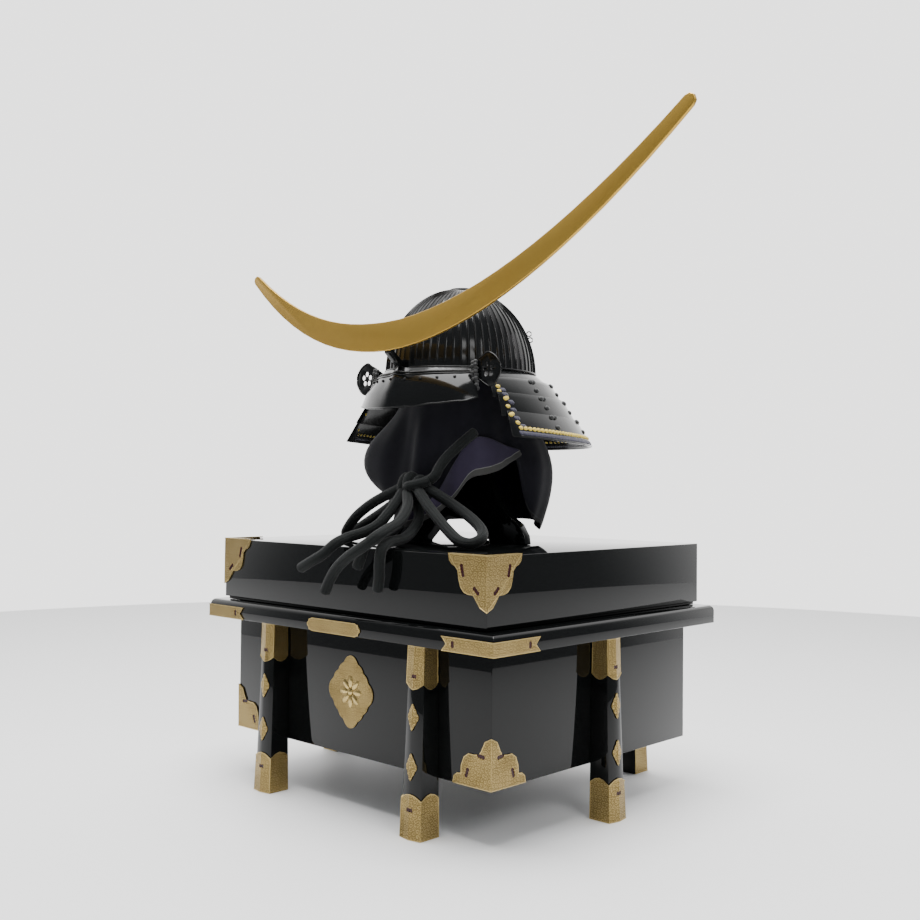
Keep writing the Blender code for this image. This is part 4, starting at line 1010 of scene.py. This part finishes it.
def guard_spot(angle, height, turn=0.0, sunk=0.0):
    """A place on the guard's outer face, found from outside, looking at the axis."""
    way = Vector((math.sin(math.radians(angle)), -math.cos(math.radians(angle)), 0.0))
    start = over_lid((0.5 * way.x, 0.5 * way.y, height))
    hit, normal, _, _ = guard_tree.ray_cast(start, -way)
    if hit is None:
        return None
    return set_on(hit - normal * sunk, normal, turn)


def fallen(angle, fall):
    """The height at a share of the guard's drop."""
    return BOWL_RIM + (foot_height(angle) - BOWL_RIM) * fall


def silk(name, dark, light):
    """Floss silk of a stitch or a knot, with fine lengthwise threads."""
    made, tree, _ = new_finish(name, light, 0.6, {"Sheen Weight": 0.2})
    threads = grain(tree, 1400.0, 3.0)
    toned(tree, spread(tree, threads, 0.35, 0.62), dark, light)
    raised(tree, threads, 0.7, 0.0004)
    return made


YELLOW_SILK = silk("yellow_silk", (0.38, 0.25, 0.025), (0.78, 0.60, 0.085))
NAVY_SILK = silk("navy_silk", (0.004, 0.003, 0.014), (0.012, 0.010, 0.045))
BLACK_SILK = silk("black_silk", (0.0020, 0.0024, 0.0026), (0.0085, 0.0095, 0.0100))


def sewn(name, size, segments, rings, spots, material):
    """Stitches or knots of one size, at the spots that lie on the guard."""
    copies(name, pin_shape(name + "_shape", *size, segments, rings), [spot for spot in spots if spot],
           material, "dark_cord")


knots = [guard_spot(column + shift, fallen(column, fall))
         for column in LACING_COLUMNS for fall, wide in LACING_FALLS
         for shift in ((-KNOT_PAIR, KNOT_PAIR) if wide else (0.0,))]
sewn("lacing_knots", (0.0046, 0.0038, 0.0030), 12, 8, knots, BLACK_SILK)

yellow, navy = [], []
for side in (1, -1):
    for k, fall in enumerate(EDGE_FALLS):
        above = sum(1 for edge in LAME_FALLS if edge < fall)
        angle = side * (GUARD_FRONT_ANGLE + EDGE_STEP * above + 0.9)
        for part in ((-0.3, 0.6) if k in (2, 4) else (0.0,)):
            yellow.append(guard_spot(angle + part, fallen(angle, fall) + 0.0012 * part, 40.0 * part))
        for step in (2.0, 3.3):
            navy.append(guard_spot(angle + side * step, fallen(angle, fall + 0.05), 30.0))
foot_start = GUARD_FRONT_ANGLE + GUARD_SPREAD_ANGLE
angle = foot_start - 0.6
while angle < 360.0 - foot_start + 0.7:
    foot = foot_height(angle)
    yellow.append(guard_spot(angle, foot + YELLOW_OVER_FOOT, 12.0))
    for shift in (-0.6, 0.6):
        navy.append(guard_spot(angle + shift, foot + NAVY_OVER_FOOT, 20.0, sunk=0.0004))
    angle += STITCH_STEP
sewn("yellow_stitches", (0.0037, 0.0032, 0.0023), 10, 6, yellow, YELLOW_SILK)
sewn("navy_stitches", (0.0030, 0.0042, 0.0015), 8, 6, navy, NAVY_SILK)
rolled = []
for k in range(110):
    angle = foot_start - 1.6 + (360.0 - 2 * foot_start + 3.2) * k / 109
    spot = guard_spot(angle, foot_height(angle) + ROLL_OVER_FOOT, sunk=0.0006)
    if spot:
        rolled.append(spot.translation.copy())
bead("guard_foot_roll", rolled, 0.0013, closed=False)


# Turnbacks.
# The top lame's front ends turn outwards in small plates, pierced with a five-petal flower
# and edged with a bead. Black tufts of knotted silk tie each one to the guard.
TURNBACK_INNER, TURNBACK_OUTER = 0.1015, 0.1435
TURNBACK_FRONT, TURNBACK_MIDDLE, TURNBACK_HALF_HEIGHT = 0.0755, 0.239, 0.0235
EDGE_SHARE = 0.985
# Outline: share of the plate's length outwards, share of its half height above and below
TURNBACK_EDGE = ((0.0, 0.62, -0.42), (0.2, 0.78, -0.66), (0.42, 1.0, -0.9), (0.6, 0.94, -1.0),
                 (0.8, 0.72, -0.8), (0.93, 0.45, -0.5), (1.0, 0.2, -0.25))
TUFT = ((0.0985, -0.0785, 0.2500), (0.1030, -0.0795, 0.2130))

tuft_shape = pin_shape("tuft_knot", 0.0034, 0.0031, 0.0030, segments=10, rings=7)
for side_name, side in (("left", 1), ("right", -1)):
    rounded(remade("turnback_" + side_name, "turned_plate_" + side_name, *IRON), 0.0003, segments=2,
            corner=60.0)
    outline = [(along, high) for along, high, low in TURNBACK_EDGE]
    outline += [(along, low) for along, high, low in TURNBACK_EDGE[::-1]]
    edge = [over_lid((side * (TURNBACK_INNER + (TURNBACK_OUTER - TURNBACK_INNER) * along),
                      -TURNBACK_FRONT - IRON_SHEET / 2,
                      TURNBACK_MIDDLE + TURNBACK_HALF_HEIGHT * EDGE_SHARE * rise))
            for along, rise in outline]
    bead("turnback_edge_" + side_name, eased(edge, 0.0015), 0.0011, sides=8, closed=False)
    places = []
    for k in range(9):
        x, y, z = Vector(TUFT[0]).lerp(Vector(TUFT[1]), k / 8)
        for step in (-0.0024, 0.0024):
            spot = over_lid((side * (x + step), y - 0.0012 * (k % 2), z + 0.3 * step))
            places.append(set_on(spot, (0.3 * side, -1.0, 0.2), 25.0 * (k % 3)))
    copies("turnback_tuft_" + side_name, tuft_shape, places, BLACK_SILK, "dark_cord")


# Cloth.
# A square of navy cloth with a purple silk lining and a turned hem, laid over the stand to keep
# the lacquer off it. It hangs in soft upright folds, and the corner by the knot is turned out.
FOLD_DEPTH = 0.0042
FOLD_START, FOLD_FULL = 0.215, 0.150
THREADS = 2600.0


def woven(name, dark, light, sheen=0.12):
    """Plain-woven silk: fine threads both ways and slow changes of tone."""
    made, tree, _ = new_finish(name, dark, 0.85, {"Sheen Weight": sheen, "Sheen Roughness": 0.5,
                                                  "Specular IOR Level": 0.2})
    toned(tree, grain(tree, 30.0, 4.0), dark, light)
    axes = node(tree, "SeparateXYZ", _0=node(tree, "TexCoord").outputs["Object"]).outputs
    around = sum_of(tree, "ADD", axes["X"], axes["Y"])
    warp = sum_of(tree, "SINE", times(tree, around, THREADS))
    weft = sum_of(tree, "SINE", times(tree, axes["Z"], THREADS))
    raised(tree, times(tree, warp, weft), 0.35, 0.0003)
    return made


def hemmed(made, hem_colour, band, thread_colour):
    """Mix a hem's own tone along the cloth's foot, with a thin line of stitches over it."""
    tree = made.node_tree
    base = tree.nodes["Principled BSDF"].inputs["Base Color"]
    cloth_tone = base.links[0].from_socket
    over = node(tree, "Attribute", {"attribute_name": "over_hem"}).outputs["Fac"]
    from_line = sum_of(tree, "ABSOLUTE", sum_of(tree, "SUBTRACT", over, band))
    for value, limit, tone in ((over, band, hem_colour), (from_line, 0.0005, thread_colour)):
        mix = node(tree, "Mix", {"data_type": "RGBA"}, _6=cloth_tone, _7=(*tone, 1.0),
                   Factor=sum_of(tree, "LESS_THAN", value, limit))
        cloth_tone = mix.outputs[2]
    tree.links.new(cloth_tone, base)
    return made


NAVY_CLOTH = hemmed(woven("navy_cloth", (0.0024, 0.0024, 0.0050), (0.0052, 0.0050, 0.0095)),
                    (0.0060, 0.0060, 0.0075), 0.0060, (0.030, 0.030, 0.032))
LINING = (0.022, 0.017, 0.036), (0.040, 0.032, 0.060)
PURPLE_SILK = woven("purple_silk", *LINING, sheen=0.2)
TURNED_SILK = hemmed(woven("turned_silk", *LINING, sheen=0.2), (0.050, 0.050, 0.048), 0.0095,
                     (0.16, 0.16, 0.155))


def fold_depth(angle, height):
    """How far the cloth's folds push it in or out, growing from the stand's neck down."""
    start, full = LID_TOP + FOLD_START, LID_TOP + FOLD_FULL
    share = min(max((start - height) / (start - full), 0.0), 1.0)
    wave = (math.sin(7 * angle + 0.8) + 0.7 * math.sin(12 * angle + 2.1 + 9.0 * height)
            + 0.45 * math.sin(21 * angle + 0.4 - 14.0 * height))
    return FOLD_DEPTH * 0.5 * share * share * wave


def softened(cad_node, name, material, slot, folds=1.0):
    """The CAD solid's sheet with its faces made four-sided, divided and folded."""
    made = remade(cad_node, name, material, slot)
    edit_all(made, (bpy.ops.mesh.tris_convert_to_quads, {"face_threshold": math.radians(60.0),
                                                         "shape_threshold": math.radians(70.0)}))
    smooth = made.modifiers.new("soft", "SUBSURF")
    smooth.levels = smooth.render_levels = 2
    apply_all(made)
    for vertex in made.data.vertices:
        x, y = vertex.co.x - AXIS, vertex.co.y
        radius = math.hypot(x, y)
        if radius > 0.03:
            push = folds * fold_depth(math.atan2(x, -y), vertex.co.z) / radius
            vertex.co.x += x * push
            vertex.co.y += y * push
    made.data.polygons.foreach_set("use_smooth", [True] * len(made.data.polygons))
    made.data.materials.append(PURPLE_SILK)
    return made


HEM_COLUMNS = 90


def turn_of(vertex):
    """Which way a point lies from the axis, as a share of a full turn from the front."""
    return math.atan2(vertex.co.x - AXIS, -vertex.co.y) / (2 * math.pi) % 1.0


def paint_cloth(made, lined=False):
    """Mark each point's height over the hem, and give a lined cloth's inner faces the lining."""
    lowest = {}
    for vertex in made.data.vertices:
        k = int(turn_of(vertex) * HEM_COLUMNS) % HEM_COLUMNS
        lowest[k] = min(lowest.get(k, vertex.co.z), vertex.co.z)
    known = sorted(lowest)
    centres = [(k + 0.5) / HEM_COLUMNS for k in known]
    heights = [lowest[k] for k in known]
    over = [vertex.co.z - float(np.interp(turn_of(vertex), centres, heights))
            for vertex in made.data.vertices]
    mark = made.data.attributes.new("over_hem", "FLOAT", "POINT")
    mark.data.foreach_set("value", over)
    for face in made.data.polygons:
        place, normal = face.center, face.normal
        inside = normal.x * (place.x - AXIS) + normal.y * place.y < 0
        if lined and inside and place.z < LID_TOP + BOWL_RIM:
            face.material_index = 1


cloth = softened("cloth", "stand_cloth", NAVY_CLOTH, "dark_cloth")
paint_cloth(cloth, lined=True)
corner = softened("cloth_turned_corner", "turned_corner", TURNED_SILK, "purple_lining", folds=0.8)
paint_cloth(corner)


# Floor and lights.
# A plain pale floor and large soft lights, as in a white room that is bright behind the
# helmet and dim behind the camera, which keeps the lacquer dark.
FLOOR_REACH = 2.6
ROOM_LIGHT, ROOM_SHADE, ROOM_STRENGTH = (1.0, 0.995, 0.99), (0.13, 0.135, 0.14), 2.45

bpy.ops.object.select_all(action="DESELECT")
bpy.ops.mesh.primitive_circle_add(vertices=128, radius=FLOOR_REACH, fill_type="NGON",
                                  location=(0.0, 0.0, 0.0))
floor = bpy.context.object
floor.name = "pale_floor"
floor.data.materials.append(new_finish("pale_floor", (0.92, 0.92, 0.92), 0.6)[0])

world = bpy.data.worlds.new("white_room")
world.use_nodes = True
room = world.node_tree
facing = node(room, "VectorMath", {"operation": "DOT_PRODUCT"},
              _0=node(room, "TexCoord").outputs["Generated"],
              _1=(-math.sin(CAMERA_TURN), math.cos(CAMERA_TURN), 0.35))
wall = node(room, "Mix", {"data_type": "RGBA"}, _6=(*ROOM_SHADE, 1.0), _7=(*ROOM_LIGHT, 1.0),
            Factor=spread(room, facing.outputs["Value"], 0.10, 0.80, soft=True))
room.links.new(wall.outputs[2], room.nodes["Background"].inputs["Color"])
room.nodes["Background"].inputs["Strength"].default_value = ROOM_STRENGTH
bpy.context.scene.world = world


def soft_light(name, place, aim, size, power):
    """A square light at a place, turned to its aim."""
    data = bpy.data.lights.new(name, "AREA")
    data.shape = "RECTANGLE"
    data.size, data.size_y, data.energy = size, size, power
    made = placed(name, data)
    made.location = place
    made.rotation_euler = (Vector(aim) - Vector(place)).to_track_quat("-Z", "Y").to_euler()


soft_light("ceiling_light", (0.0, -0.3, 2.6), (0.0, 0.0, 0.3), 1.6, 110.0)
soft_light("left_light", (2.2, -0.8, 1.8), (0.0, 0.0, 0.45), 1.0, 22.0)
